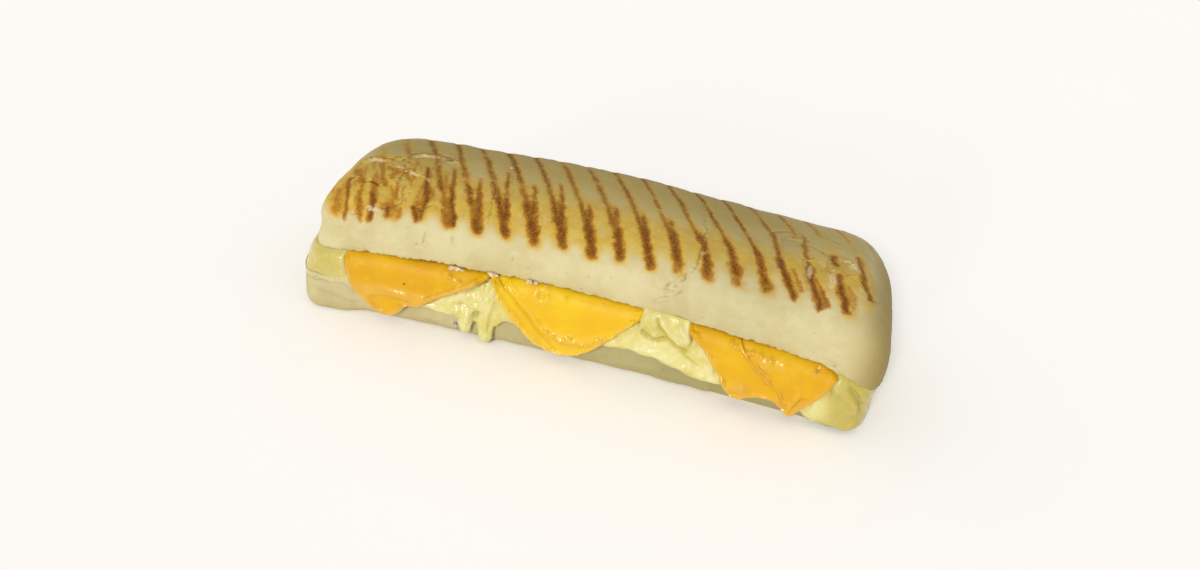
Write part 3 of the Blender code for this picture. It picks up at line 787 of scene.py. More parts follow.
# The cheddar slices. Each: its hidden ends, the front edge where it shows as (x, height), the
# middle of the small corner at the back, ridges and grooves as (trail, half width, height) with
# trails of (x, height) on the hanging front, and bubbles as (x, height, radius, height)
SLICES = {
    "cheddar_left": dict(
        ends=(-110.5, -41.6), back=-72.0, bright=0.0,
        edge=((-107.5, 36.0), (-105.8, 31.9), (-103.2, 19.6), (-97.6, 11.9), (-90.6, 5.0), (-86.0, 4.4),
              (-82.0, 6.4), (-78.0, 11.0), (-70.2, 14.2), (-63.8, 19.6), (-55.1, 25.2), (-46.4, 30.6),
              (-41.8, 35.4)),
        ridges=((((-103.0, 19.5), (-94.9, 17.6), (-86.3, 18.0), (-77.8, 17.4), (-70.0, 18.4)), 2.4, 1.1),
                (((-71.0, 16.6), (-63.5, 21.6), (-55.1, 27.2), (-47.0, 32.4)), 1.3, 1.2),
                (((-92.0, 12.0), (-88.0, 5.5)), 2.4, -0.5), (((-78.0, 12.6), (-70.0, 15.6)), 0.9, 0.6),
                (((-60.0, 33.5), (-52.0, 30.0)), 1.4, 0.4)),
        bubbles=((-71.0, 17.6, 0.8, 0.4), (-64.4, 21.8, 0.7, 0.4), (-62.0, 23.2, 0.7, 0.45),
                 (-59.5, 24.6, 0.6, 0.4), (-57.0, 26.0, 0.9, 0.6), (-54.0, 28.0, 0.9, 0.6),
                 (-51.4, 29.6, 0.8, 0.5), (-66.6, 20.2, 0.9, 0.6), (-73.6, 15.6, 1.0, 0.6),
                 (-94.4, 16.4, 2.4, 0.5), (-57.8, 32.4, 0.8, 0.5), (-53.4, 31.6, 0.7, 0.5))),
    "cheddar_middle": dict(
        ends=(-42.1, 31.0), back=-4.0, bright=1.0,
        edge=((-42.0, 37.0), (-40.4, 34.2), (-34.2, 22.7), (-26.4, 12.5), (-17.0, 6.0), (-9.4, 4.2),
              (-3.4, 5.0), (5.0, 10.0), (11.2, 16.2), (16.8, 23.2), (23.0, 31.2), (27.0, 37.0)),
        ridges=((((-36.6, 35.6), (-31.0, 30.2), (-25.4, 23.4), (-18.3, 14.6), (-10.7, 7.6)), 0.75, -1.0),
                (((-35.0, 35.8), (-29.4, 31.6), (-23.0, 25.4), (-16.4, 16.8)), 0.7, -0.6),
                (((-38.5, 32.5), (-33.4, 25.4), (-26.4, 16.4), (-17.6, 8.6)), 1.7, 0.8),
                (((-33.0, 35.0), (-26.0, 29.6), (-19.6, 21.4)), 1.2, 0.45),
                (((-15.0, 15.6), (-7.0, 13.4), (2.0, 14.6), (8.6, 18.0)), 2.2, 0.8)),
        bubbles=((-18.1, 33.0, 3.2, 1.1), (-18.1, 33.2, 1.9, -1.5), (-14.6, 16.2, 0.8, 0.5),
                 (-11.2, 15.0, 0.7, 0.5), (-8.4, 13.2, 0.8, 0.6), (-6.4, 14.4, 0.8, 0.6),
                 (-4.0, 15.8, 0.9, 0.6), (-2.2, 14.0, 0.7, 0.5), (1.6, 13.9, 0.8, 0.5),
                 (3.6, 13.4, 0.6, 0.4), (-8.0, 34.0, 0.9, 0.35), (-15.4, 33.6, 0.6, 0.35),
                 (9.0, 18.4, 0.8, 0.5), (7.0, 17.6, 0.6, 0.4))),
    "cheddar_right": dict(
        ends=(36.0, 110.5), back=70.0, bright=0.1,
        edge=((41.2, 37.0), (43.6, 33.5), (52.2, 24.5), (59.6, 14.0), (64.6, 6.8), (68.8, 5.2),
              (76.8, 8.4), (84.4, 8.4), (89.2, 4.6), (92.2, 3.6), (95.0, 7.4), (101.2, 16.0),
              (106.4, 27.0), (109.2, 33.0)),
        ridges=((((65.1, 33.3), (68.9, 28.7), (74.1, 23.3), (79.0, 19.6), (85.0, 15.6), (88.0, 10.5)),
                  0.6, 0.9),
                (((66.8, 33.5), (70.8, 28.7), (76.0, 23.3), (81.0, 19.6)), 1.6, -0.5),
                (((93.2, 15.5), (91.4, 10.5), (90.0, 6.0)), 1.0, 0.9),
                (((95.4, 14.0), (93.4, 10.0)), 1.0, -0.5), (((86.0, 14.0), (88.5, 8.0)), 1.2, -0.5),
                (((60.0, 10.0), (70.0, 12.5)), 3.0, 0.7)),
        bubbles=((62.2, 31.8, 1.1, 0.7), (64.9, 31.0, 1.0, 0.7), (69.4, 29.8, 1.1, 0.7),
                 (71.5, 30.4, 0.9, 0.6), (74.5, 30.0, 1.1, 0.7), (78.8, 29.2, 1.2, 0.7),
                 (76.6, 26.6, 3.0, 0.8), (98.0, 30.2, 1.1, -0.8), (61.5, 14.0, 1.1, 0.7),
                 (62.6, 12.2, 0.9, 0.6), (79.4, 19.4, 1.2, 0.6), (84.0, 27.6, 2.4, 0.5),
                 (70.6, 10.6, 2.2, 0.6), (90.0, 10.6, 1.0, 0.6))),
}
# Dark specks on the slices: (x, height, radius, darkness)
CHEDDAR_SPECKS = ((-78.1, 24.2, 0.5, 1.2), (99.2, 30.6, 0.4, 0.6))
SLICES_MEET = -42.4      # x where the left and the middle slice touch
CUT_RUN = 39.0           # run from the spine to the crown's rim
BACK_HANG = 12.0         # how far past the rim a slice's back corner hangs
BACK_STEEP = 0.9         # how fast the back edge falls away beside that corner
EDGE_ROUND = 1.3         # how near its edge a slice grows thinner
KNEE_RUN = 30.0          # rows are further apart between the back edge and here
KNEE_SHARE = 0.15        # share of the rows that lie there


def run_down_to(x, height):
    """Run from the centre line along a slice's outer face, over its bend, down to a height."""
    drop = cut_height(x) - GAP - height
    turned = DRAPE_RADIUS * np.arccos(np.clip(1.0 - drop / DRAPE_RADIUS, 0.0, 1.0))
    return DRAPE_START + turned + np.maximum(0.0, drop - DRAPE_RADIUS)


def front_run(slice_sizes, x):
    """Run of a slice's front edge at x: along its outline, and falling back beyond its ends."""
    edge = slice_sizes["edge"]
    run = run_down_to(x, curve_through(edge, x))
    beyond = np.maximum(0.0, edge[0][0] - x) + np.maximum(0.0, x - edge[-1][0])
    return run - 1.6 * beyond


def slice_points(x, run):
    """Outer face and outward normal of a slice at (x, run), front runs negative.

    The sheet lies flat out to DRAPE_START, turns down on an arc, and falls straight on.
    """
    side = np.sign(run)
    beyond = np.abs(run) - DRAPE_START
    angle = np.clip(beyond / DRAPE_RADIUS, 0.0, DRAPE_TUCK)
    straight = np.maximum(0.0, beyond - DRAPE_TUCK * DRAPE_RADIUS)
    bent_reach = DRAPE_START + DRAPE_RADIUS * np.sin(angle) + straight * np.cos(angle)
    reach = np.where(beyond <= 0.0, np.abs(run), bent_reach)
    drop = DRAPE_RADIUS * (1.0 - np.cos(angle)) + straight * np.sin(angle)
    points = np.stack((x, side * reach + bend(x), cut_height(x) - GAP - drop), axis=-1)
    normals = np.stack((0.0 * x, side * np.sin(angle), np.cos(angle)), axis=-1)
    return points, normals


def cheddar(name, finish):
    """A slice of cheddar draped over the layers, its corner hanging at the front.

    The sheet's two faces are grids over (x, run). Near its outline the thickness falls on a
    quarter circle to nothing, which rounds the edge and closes the sheet.
    """
    sizes = SLICES[name]
    left, right = sizes["ends"]
    column = np.linspace(0.0, 1.0, SLICE_COLUMNS)
    x = (left + (right - left) * (column - 0.10 * np.sin(2.0 * np.pi * column) / np.pi))[:, None]
    front = front_run(sizes, x)
    back = CUT_RUN + BACK_HANG - np.abs(x - sizes["back"]) * BACK_STEEP
    back = np.maximum(back, 20.0)
    share = np.linspace(0.0, 1.0, SLICE_ROWS)[None, :]
    knee = np.minimum(KNEE_RUN, front - 3.0)
    beyond_knee = np.clip((share - KNEE_SHARE) / (1.0 - KNEE_SHARE), 0.0, 1.0)
    beyond_knee = beyond_knee + 0.10 * np.sin(np.pi * beyond_knee) * beyond_knee
    forward = -back + (knee + back) * np.clip(share / KNEE_SHARE, 0.0, 1.0) + (front - knee) * beyond_knee
    x = np.broadcast_to(x, forward.shape)
    points, normals = slice_points(x, -forward)
    lean = np.gradient(front[:, 0], x[:, 0])[:, None]
    front_away = (front - forward) / np.hypot(1.0, lean)
    back_away = (forward + back) / math.hypot(1.0, BACK_STEEP)
    edge_away = np.minimum(np.minimum(front_away, back_away), np.minimum(x - left, right - x))
    near = 1.0 - np.clip(edge_away / EDGE_ROUND, 0.0, 1.0)
    thickness = CHEDDAR_THICK * np.sqrt(np.clip(1.0 - near * near, 0.0, 1.0))
    height = points[..., 2]
    shows = smooth(forward, 35.0, 40.0)
    relief = 0.55 * swell(x, forward, 0.0, 17.0, 71) + 0.22 * swell(x, forward, 0.0, 7.0, 72)
    relief = relief + 0.05 * layered(x, forward, 0.0, 2.2, 73)
    for trail, half, rise in sizes["ridges"]:
        relief = relief + 1.4 * ridge(x, height, trail, half, rise) * shows
    bubbles = dots(x, height, sizes["bubbles"]) * shows
    bead = 0.30 * np.exp(-((edge_away - 1.6) / 1.1) ** 2) * shows
    blistered = np.abs(bubbles)
    for trail, half, rise in sizes["ridges"]:
        blistered = blistered + 0.5 * np.abs(ridge(x, height, trail, half, rise)) * (height < 34.0)
    wet = (1.0 - smooth(edge_away, 1.0, 3.6)) * smooth(forward, 42.0, 48.0)
    wet = np.clip(wet + 1.6 * blistered * shows, 0.0, 1.0)
    drops = smooth(layered(x, forward, 0.0, 2.6, 75, 2), 0.15, 0.9)
    drops = drops * (1.0 - smooth(edge_away, 1.5, 5.5)) * shows
    relief = relief + 1.7 * bubbles + 0.8 * drops + bead * (1.5 + 1.2 * swell(x, forward, 0.0, 2.4, 74))
    shrink = 0.5 * (CHEDDAR_THICK - thickness)
    held = np.clip(edge_away, 0.0, 1.0)
    outer = points + normals * (relief * held - shrink)[..., None]
    inner = points + normals * (shrink - CHEDDAR_THICK)[..., None]
    values = dict(wet=wet, low=smooth(-height, -16.0, -5.0), hole=np.clip(-bubbles, 0.0, 1.0),
                  bright=np.full(x.shape, sizes["bright"]), speck=dots(x, height, CHEDDAR_SPECKS) * shows)
    return sheet_object(name.replace("cheddar_", "slice_"), outer, inner, finish, values)


def sheet_object(name, outer, inner, finish, values):
    """A closed sheet from two grids that meet along their outline."""
    count, rows = outer.shape[:2]
    face = grid_quads(count, rows, False)
    back = face[:, ::-1] + count * rows
    points = np.concatenate((outer.reshape(-1, 3), inner.reshape(-1, 3)))
    both = {title: np.concatenate((value.ravel(), value.ravel())) for title, value in values.items()}
    return face_object(name, points, np.concatenate((face, back)), finish, both)


def cheddar_finish():
    """Smooth glossy melted cheddar, deeper where it hangs low on the outer slices, paler there on the
    middle one, and glossiest where it is wet.
    """
    finish = Finish("melted cheddar")
    wet, low, hole = finish.value("wet"), finish.value("low"), finish.value("hole")
    bright = finish.value("bright")
    broad, middling, fine = finish.grain(16.0), finish.grain(4.0), finish.grain(0.8)
    deep = finish.blend(broad.eased(0.35, 0.65), paint(232, 180, 4), paint(224, 166, 4))
    pale = finish.blend(broad.eased(0.35, 0.65), paint(240, 198, 20), paint(238, 187, 16))
    colour = finish.blend(bright, deep, pale)
    colour = finish.blend(middling.eased(0.5, 0.8) * 0.35, colour, paint(246, 206, 52))
    colour = finish.blend(low * (1.0 - bright) * 0.50, colour, paint(232, 172, 6))
    colour = finish.blend(low * bright * 0.5, colour, paint(242, 205, 60))
    colour = finish.blend(hole.eased(0.15, 0.8) * 0.6, colour, paint(196, 152, 62))
    blisters = finish.blisters(2.2)
    relief = middling * 0.5 + fine * 0.06 * (0.3 + wet) + blisters * wet * 1.2
    colour = finish.blend(finish.value("speck").eased(0.2, 0.7), colour, paint(70, 44, 20))
    rough = 0.50 + 0.08 * middling - 0.28 * wet
    finish.fill(finish.shader.inputs["Coat Weight"], wet)
    return finish.surface(colour, rough, relief, 0.40, Specular_IOR_Level=0.30,
                          Subsurface_Weight=0.12, Subsurface_Scale=0.003, Coat_Roughness=0.10)


# How low the mozzarella's lip hangs along the front, as (x, height)
LIP = (
    (-128, 16.4), (-110, 16.2), (-104, 15.4), (-98, 12.6), (-84, 12.0), (-72, 12.2), (-64, 12.0),
    (-58.5, 12.0), (-55.8, 11.0), (-54.0, 9.8), (-53.3, 6.4), (-52.6, 4.9), (-51.4, 4.2), (-50.0, 4.1),
    (-49.0, 5.0), (-48.3, 8.4), (-47.3, 10.2), (-46.1, 9.4), (-45.2, 4.0), (-44.4, 1.7), (-43.2, 1.1),
    (-41.6, 1.0), (-40.4, 1.4), (-39.6, 3.4), (-38.8, 8.8), (-37.2, 10.8), (-35.5, 12.6), (-30, 14.6),
    (7, 13.6), (16, 15.0), (24, 14.6), (33, 13.1), (42, 10.8), (51, 8.8), (60, 8.9), (78, 12.0),
    (92, 8.0), (98, 4.2), (104, 3.0), (128, 3.0),
)
BACK_LIP = (
    (-128, 13.5), (-88, 12.5), (-80, 9.8), (-75, 8.4), (-70, 10.2), (-60, 12.8), (0, 12.2), (18, 11.0),
    (30, 9.2), (42, 11.4), (80, 12.6), (104, 8.0), (128, 3.2),
)
# Its folds, the grooves between them and its bubbles, given as on the slices
CHEESE_RIDGES = (
    (((-53.5, 25.0), (-50.0, 28.0), (-46.0, 29.0), (-41.0, 27.0)), 1.6, 1.0),
    (((-55.0, 21.0), (-50.5, 23.4), (-45.0, 23.0)), 1.5, 0.8),
    (((-40.2, 22.0), (-41.2, 12.0), (-42.0, 3.0)), 1.6, 1.3),
    (((-49.4, 16.0), (-50.8, 10.0), (-50.9, 5.0)), 1.4, 1.1),
    (((-58.0, 12.4), (-63.0, 13.6), (-68.0, 15.0)), 1.2, 0.8), (((-49.0, 14.0), (-48.6, 10.8)), 1.0, 0.7),
    (((-49.5, 18.6), (-46.4, 19.6), (-43.4, 17.4)), 1.0, 0.7),
    (((-58.0, 16.0), (-53.0, 14.5), (-50.0, 12.0)), 1.6, 0.8),
    (((26.0, 34.6), (28.6, 31.0), (31.0, 27.4)), 1.8, 2.0),
    (((33.4, 34.0), (37.4, 29.6), (41.2, 26.0)), 1.7, 1.9),
    (((40.6, 33.6), (43.0, 30.4), (44.4, 27.4)), 1.3, 1.6),
    (((8.0, 15.6), (20.0, 17.2), (30.0, 16.6), (40.0, 14.2), (50.0, 11.8), (60.0, 10.8)), 1.7, 0.8),
    (((106.0, 25.6), (110.4, 22.4), (114.6, 18.0), (116.4, 13.6)), 1.8, 1.7),
    (((104.0, 12.0), (112.0, 9.0), (118.0, 6.0)), 3.0, 0.5),
)
CHEESE_GROOVES = (
    (((25.6, 26.4), (28.4, 24.2), (31.6, 23.6), (35.6, 26.0)), 1.2, -1.6),
    (((30.8, 34.4), (32.2, 31.6), (35.0, 28.6)), 0.8, -1.5),
    (((38.0, 25.6), (40.6, 22.8), (44.4, 21.8)), 1.0, -1.5),
    (((38.8, 34.0), (40.6, 31.0), (42.0, 28.6)), 0.5, -0.8),
    (((43.3, 20.6), (47.0, 18.0), (51.0, 16.4)), 0.7, -0.6),
    (((-56.0, 18.6), (-51.0, 19.4), (-48.6, 15.0)), 1.0, -0.7),
    (((-48.0, 31.6), (-44.0, 31.6), (-40.4, 30.2)), 0.8, -0.7),
    (((112.0, 25.4), (115.6, 21.6), (118.2, 16.6), (118.6, 12.6)), 1.1, -1.8),
    (((-39.6, 18.0), (-40.2, 12.0), (-40.4, 8.6)), 0.8, -0.8),
    (((-47.6, 15.0), (-47.4, 11.0)), 0.7, -0.8), (((-54.4, 10.0), (-53.8, 5.6)), 0.6, -0.6),
)
CHEESE_BUBBLES = (
    (-46.4, 15.3, 2.0, -1.6), (-49.8, 26.6, 0.9, 0.4), (-52.4, 25.8, 0.8, 0.4), (-44.6, 30.6, 0.8, 0.4),
    (-39.6, 29.8, 0.7, 0.4), (-54.6, 22.6, 0.7, 0.4), (-57.4, 19.0, 0.8, 0.4), (-37.6, 17.6, 0.8, 0.4),
    (12.0, 16.6, 0.8, 0.4), (24.5, 16.8, 0.8, 0.4), (35.0, 15.6, 0.8, 0.4), (48.0, 13.0, 0.8, 0.4),
    (54.0, 12.4, 0.9, 0.5), (26.0, 30.5, 1.0, 0.5), (-103.5, 15.8, 0.8, 0.4), (-100.5, 15.0, 0.7, 0.4),
)


def covered(x, height, side_share, margin):
    """1 where a hanging cheddar corner lies over this place, fading over the margin beside it."""
    hidden = 0.0
    forward = run_down_to(x, height)
    for sizes in SLICES.values():
        left, right = sizes["ends"]
        front = smooth(front_run(sizes, np.clip(x, left, right)) - forward, -0.2 * margin, margin)
        behind = CUT_RUN + BACK_HANG - np.abs(x - sizes["back"]) * BACK_STEEP - forward
        over = np.where(side_share < 0.0, front, smooth(behind, -0.2 * margin, margin))
        over = over * smooth(x, left, left + margin) * (1.0 - smooth(x, right - margin, right))
        hidden = np.maximum(hidden, over)
    return hidden * (np.abs(side_share) > 0.9)


def rows_through(keys, counts):
    """Rows of a profile through key points: cubic pieces whose slopes are their neighbours' chords.

    A key is a pair of columns over the stations, reach and height. The keys' weights are the same
    at every station, so one matrix makes all the rows.
    """
    keys = np.stack([np.hstack(np.broadcast_arrays(*key)) for key in keys], axis=1)
    total = keys.shape[1]
    eye = np.eye(total)
    slopes = 0.5 * (np.vstack((eye[1:], eye[-1:])) - np.vstack((eye[:1], eye[:-1])))
    weights = []
    for low, count in enumerate(counts):
        part = (np.arange(count) / count)[:, None]
        rise = part * part * (3.0 - 2.0 * part)
        leave = part * (1.0 - part) ** 2
        arrive = part * part * (1.0 - part)
        weight = (1.0 - rise) * eye[low] + rise * eye[low + 1]
        weights.append(weight + leave * slopes[low] - arrive * slopes[low + 1])
    weights = np.vstack((*weights, eye[-1:]))
    return np.einsum("rk,skc->src", weights, keys)


def mozzarella(finish):
    """The layer on the heel that swells out under the crown and droops in a lip over the heel."""
    around = stations(CHEESE_FRONT, CHEESE_END, CHEESE_FRONT // 2)
    x, y = plan(around, SIDE_REACH + 0.0 * around[1])
    side = around[2]
    cut = cut_height(x)
    at_back = smooth(side, 0.0, 0.8)
    ragged = 0.5 * swell(x, y, 0.0, 5.0, 81) + 0.35 * swell(x, y, 0.0, 2.2, 82)
    lip = (1.0 - at_back) * curve_through(LIP, x) + at_back * curve_through(BACK_LIP, x) + ragged
    lip = np.maximum(lip, 0.8)
    levels = [cut - 0.4, cut + 1.0, cut - 2.8, 0.45 * (cut - 6.0) + 0.55 * lip, lip + 3.2, lip + 1.1]
    swollen = MOZZARELLA_REACH - 1.2 * smooth(-x, 112.0, 124.0) - 2.0 * smooth(x, 112.0, 125.0)
    # The reach of the keys down the side where they are free, and behind a hanging cheddar corner
    free = [37.0, 38.5, swollen + 0.3, swollen - 0.2, swollen + 0.1, swollen - 0.3]
    held = [35.3, 36.9, 38.3, 38.6, 38.6, 38.5]
    low = [cut - 3.4, cut - 4.8, cut - 8.5]
    keys = [(0.0, cut_height(around[0]) - 3.4), (26.0, cut - 3.4), (33.4, cut - 3.2)]
    for place, level in enumerate(levels):
        hidden = covered(x, np.minimum(level, cut - 2.5), side, 2.6)
        if place < 3:
            hidden = np.maximum(hidden, hill(x, SLICES_MEET, 7.0) * (side < -0.9))
        under = low[place] if place < 3 else level
        key_reach = free[place] * (1.0 - hidden) + held[place] * hidden
        keys.append((key_reach, level * (1.0 - hidden) + under * hidden))
    keys += [(swollen - 1.3, lip), (38.4, lip + 0.3), (38.0, 0.5 * (lip + 14.2)),
             (37.2, np.maximum(14.0, lip + 1.0)), (34.0, HEEL_HEIGHT + 0.4 + 0.0 * x),
             (0.0, HEEL_HEIGHT + 0.4 + 0.0 * x)]
    counts = (3, 4, 6, 5, 8, 16, 14, 6, 4, 3, 3, 3, 3, 2)
    rows = rows_through(keys, counts)
    reach, height = rows[..., 0], rows[..., 1]
    further = LOWER_LONGER * np.minimum(0.0, around[1]) ** 2 * np.minimum(1.0, reach / FULL_REACH)
    further = further * smooth(cut - height, -2.0, 14.0)
    reach = np.maximum(0.0, reach) + further
    points = carried(around, reach, height)
    x, y, z = np.moveaxis(points, -1, 0)
    front = smooth(-side, 0.3, 0.8)
    shape = ridges(x, z, CHEESE_RIDGES + CHEESE_GROOVES) + dots(x, z, CHEESE_BUBBLES)
    uneven = -0.6 * swell(x, y, z, 9.0, 83) - 0.30 * swell(x, y, z, 3.6, 84)
    uneven = uneven - 0.07 * layered(x, y, z, 1.6, 85)
    strings = 0.0
    for place, run in enumerate((4.2, 2.7)):
        band = swell(x + 0.8 * z, y, z, run, 86 + place) + 0.3 * swell(x, y, z, 1.7, 88)
        strings = strings + (0.75 - 0.25 * place) * np.exp(-(band / 0.16) ** 2)
    uneven = uneven + 0.6 * strings * hill(x, -47.0, 16.0) + 0.12 * strings * hill(x, 33.0, 26.0)
    hidden = covered(x, z, side, 1.5)
    row = np.arange(points.shape[1])
    key_row = np.cumsum((0, *counts))
    outside = smooth(row, 10.0, 16.0) * (1.0 - smooth(row, key_row[10], key_row[12]))
    relief = (shape * front + uneven) * outside * (1.0 - 0.9 * hidden)
    points = points + facing(points) * relief[..., None]
    # Painted shade in the grooves and hollows: the deeper, the darker olive.
    deep = smooth(-(shape * front + 0.6 * uneven), 0.15, 1.0) * outside
    smear = smooth(-x, 101.0, 105.0) * (1.0 - smooth(z, 17.6, 21.4))
    # Olive at both ends as the cheese's colour; the extra at the right end is painted shade.
    olive_ends_and_shade = smooth(np.abs(x), 98.0, 112.0) * (1.0 + 0.45 * (x > 0.0))
    values = dict(deep=deep, under=smooth(-z, -10.0, -2.0) * outside, olive_ends_and_shade=olive_ends_and_shade, smear=smear)
    return grid_object("mozzarella_layer", points, finish, values, CHEESE_FRONT)


def mozzarella_finish():
    """Pale glossy melted mozzarella, with olive-yellow painted shade in the grooves between its folds,
    olive at its ends and more painted shade at the right end.
    """
    finish = Finish("melted mozzarella")
    deep, under, olive_ends_and_shade = finish.value("deep"), finish.value("under"), finish.value("olive_ends_and_shade")
    broad, middling, fine = finish.grain(11.0), finish.grain(3.0), finish.grain(0.8)
    colour = finish.blend(broad.eased(0.35, 0.65), paint(234, 225, 152), paint(222, 207, 114))
    colour = finish.blend(middling.eased(0.5, 0.75) * 0.5, colour, paint(240, 235, 178))
    # Olive ends: the cheese's colour, with painted shade added at the right end.
    colour = finish.blend(olive_ends_and_shade * (0.45 + 0.6 * broad), colour, paint(198, 180, 84))
    # Painted shade in the grooves and hollows.
    colour = finish.blend(deep * 0.8, colour, paint(190, 172, 66))
    colour = finish.blend(under * 0.35, colour, paint(196, 184, 108))
    colour = finish.blend(finish.value("smear") * 0.92, colour, paint(214, 202, 152))
    relief = middling * 0.35 + fine * 0.06 + finish.blisters(3.2) * 0.6
    rough = 0.30 + 0.14 * middling
    finish.fill(finish.shader.inputs["Coat Weight"], middling.eased(0.40, 0.62))
    return finish.surface(colour, rough, relief, 0.45, Specular_IOR_Level=0.35,
                          Subsurface_Weight=0.12, Subsurface_Scale=0.003, Coat_Roughness=0.07)


# Soft creases along the heel: trail of (x, height), half width, height
HEEL_CREASES = (
    (((-121.0, 13.5), (-112.0, 11.5), (-104.0, 9.0), (-98.0, 8.0)), 1.3, 0.5),
    (((-118.0, 10.4), (-110.0, 8.4), (-102.0, 5.4)), 1.2, -0.4),
    (((-74.0, 5.0), (-62.0, 6.4)), 1.4, 0.4),
    (((36.4, 8.0), (37.6, 6.6), (39.6, 7.2)), 0.5, -0.7),
    (((35.6, 5.4), (37.6, 6.6)), 0.4, -0.5),
    (((14.0, 5.0), (30.0, 6.4), (46.0, 4.6)), 1.6, 0.4),
)
# Grey flecks on the heel: (x, height, radius, strength)
HEEL_FLECKS = ((-56.4, 5.8, 1.4, 1.0), (-55.8, 3.6, 1.1, 0.9))


def heel(finish):
    """The lower half of the roll: flat underneath, with softly creased bulging sides."""
    around = stations(HEEL_FRONT, HEEL_END, HEEL_FRONT // 2)
    x, y = plan(around, SIDE_REACH + 0.0 * around[1])
    side_x = np.where(around[2] > -1.0, 0.0, x)
    stepped = 1.2 * smooth(side_x, 56.0, 61.0)
    fuller = smooth(-x, 99.0, 108.0) * smooth(-around[1] - around[2], 0.2, 1.0)
    further = LOWER_LONGER * np.minimum(0.0, around[1]) ** 2
    flat = 0.0 * x
    keys = [(flat, HEEL_HEIGHT), (flat + 20.0, HEEL_HEIGHT), (33.4 + further, HEEL_HEIGHT),
            (36.6 + 2.0 * fuller + further - stepped, 14.4 + fuller),
            (37.9 + 1.2 * fuller + further - stepped, 9.0),
            (37.6 + 1.4 * fuller + further - stepped, 4.4),
            (36.7 + 1.8 * fuller + further - stepped, 1.6),
            (34.6 + 2.2 * fuller + further, 0.25), (32.5 + fuller + further, 0.0),
            (flat + 16.0, 0.0), (flat, 0.0)]
    counts = (3, 4, 6, 10, 10, 7, 5, 2, 3, 3)
    rows = rows_through(keys, counts)
    points = carried(around, np.maximum(0.0, rows[..., 0]), np.maximum(0.0, rows[..., 1]))
    x, y, z = np.moveaxis(points, -1, 0)
    front = smooth(-around[2], 0.3, 0.8)
    shape = ridges(x, z, HEEL_CREASES)
    uneven = -0.35 * swell(x, y, z, 14.0, 91) - 0.25 * swell(x, y, z, 6.0, 92)
    uneven = uneven - 0.08 * layered(x, y, z, 2.0, 93)
    row = np.arange(points.shape[1])
    key_row = np.cumsum((0, *counts))
    outside = smooth(row, key_row[2], key_row[3]) * (1.0 - smooth(row, key_row[6], key_row[7]))
    points = points + facing(points) * ((shape * front + uneven) * outside)[..., None]
    points[..., 2] = np.maximum(points[..., 2], 0.0)
    # The hollows of the creases are darkened in the finish as painted shade.
    values = dict(low=1.0 - smooth(z, 0.5, 7.0), deep=smooth(-(shape * front + 0.7 * uneven), 0.1, 0.7),
                  # Painted shadow beneath the cheese, growing towards the right.
                  shadow_under_cheese=0.72 * smooth(x, -95.0, 10.0) + 0.50 * smooth(x, 18.0, 45.0),
                  fleck=dots(x, z, HEEL_FLECKS) * front)
    return grid_object("heel", points, finish, values, HEEL_FRONT)


# Crumbs that stick to the cheese, as (x, height, radius)
CRUMBS = (
    (-58.4, 35.0, 1.7), (-56.0, 35.4, 1.4), (-53.8, 35.2, 0.9), (-40.6, 36.4, 1.5), (-38.8, 36.2, 0.9),
    (-24.4, 36.9, 1.4), (-21.8, 36.9, 1.0), (-17.4, 36.3, 0.6), (8.0, 35.0, 0.5), (96.8, 28.6, 0.7),
)
RIM_STANDS_OUT = 38.6    # the crumbs below the crown's rim lie at least this far out


def crumbs(finish):
    """Small torn bits of crust on the cheese below the crown, joined into one piece.

    Each is a ball of rings whose radius is uneven, set on the outer face of the hanging cheese.
    """
    turn = np.linspace(0.0, 2.0 * np.pi, BALL_SIDES + 1)[:-1, None]
    rise = np.linspace(-0.5 * np.pi, 0.5 * np.pi, BALL_RINGS)[None, :]
    ball = (np.cos(turn) * np.cos(rise), np.sin(turn) * np.cos(rise), np.sin(rise) + 0.0 * turn)
    ball = np.stack(ball, -1)
    points, quads = [], []
    faces = grid_quads(BALL_SIDES, BALL_RINGS, True)
    for place, (x, height, radius) in enumerate(CRUMBS):
        uneven = 1.0 + 0.35 * layered(ball[..., 0], ball[..., 1], ball[..., 2] + 5.0 * place, 0.9, 95)
        size = radius * np.array((1.15, 0.55, 0.8))
        drop = max(0.0, cut_height(x) - GAP - height)
        out = DRAPE_START + DRAPE_RADIUS * math.sin(math.acos(1.0 - drop / DRAPE_RADIUS))
        middle = np.array((x, bend(x) - max(out, RIM_STANDS_OUT), height))
        points.append((middle + ball * uneven[..., None] * size).reshape(-1, 3))
        quads.append(faces + BALL_SIDES * BALL_RINGS * place)
    return face_object("crumbs", np.concatenate(points), np.concatenate(quads), finish, {})


def crumb_finish():
    """Torn bread, pale with a tanned skin."""
    finish = Finish("torn crumb")
    middling, fine = finish.grain(1.6), finish.grain(0.4)
    colour = finish.blend(middling.eased(0.4, 0.6), paint(238, 220, 176), paint(212, 178, 120))
    relief = middling * 0.5 + fine * 0.4
    return finish.surface(colour, 0.5 + 0.3 * fine, relief, 0.3, Specular_IOR_Level=0.4)


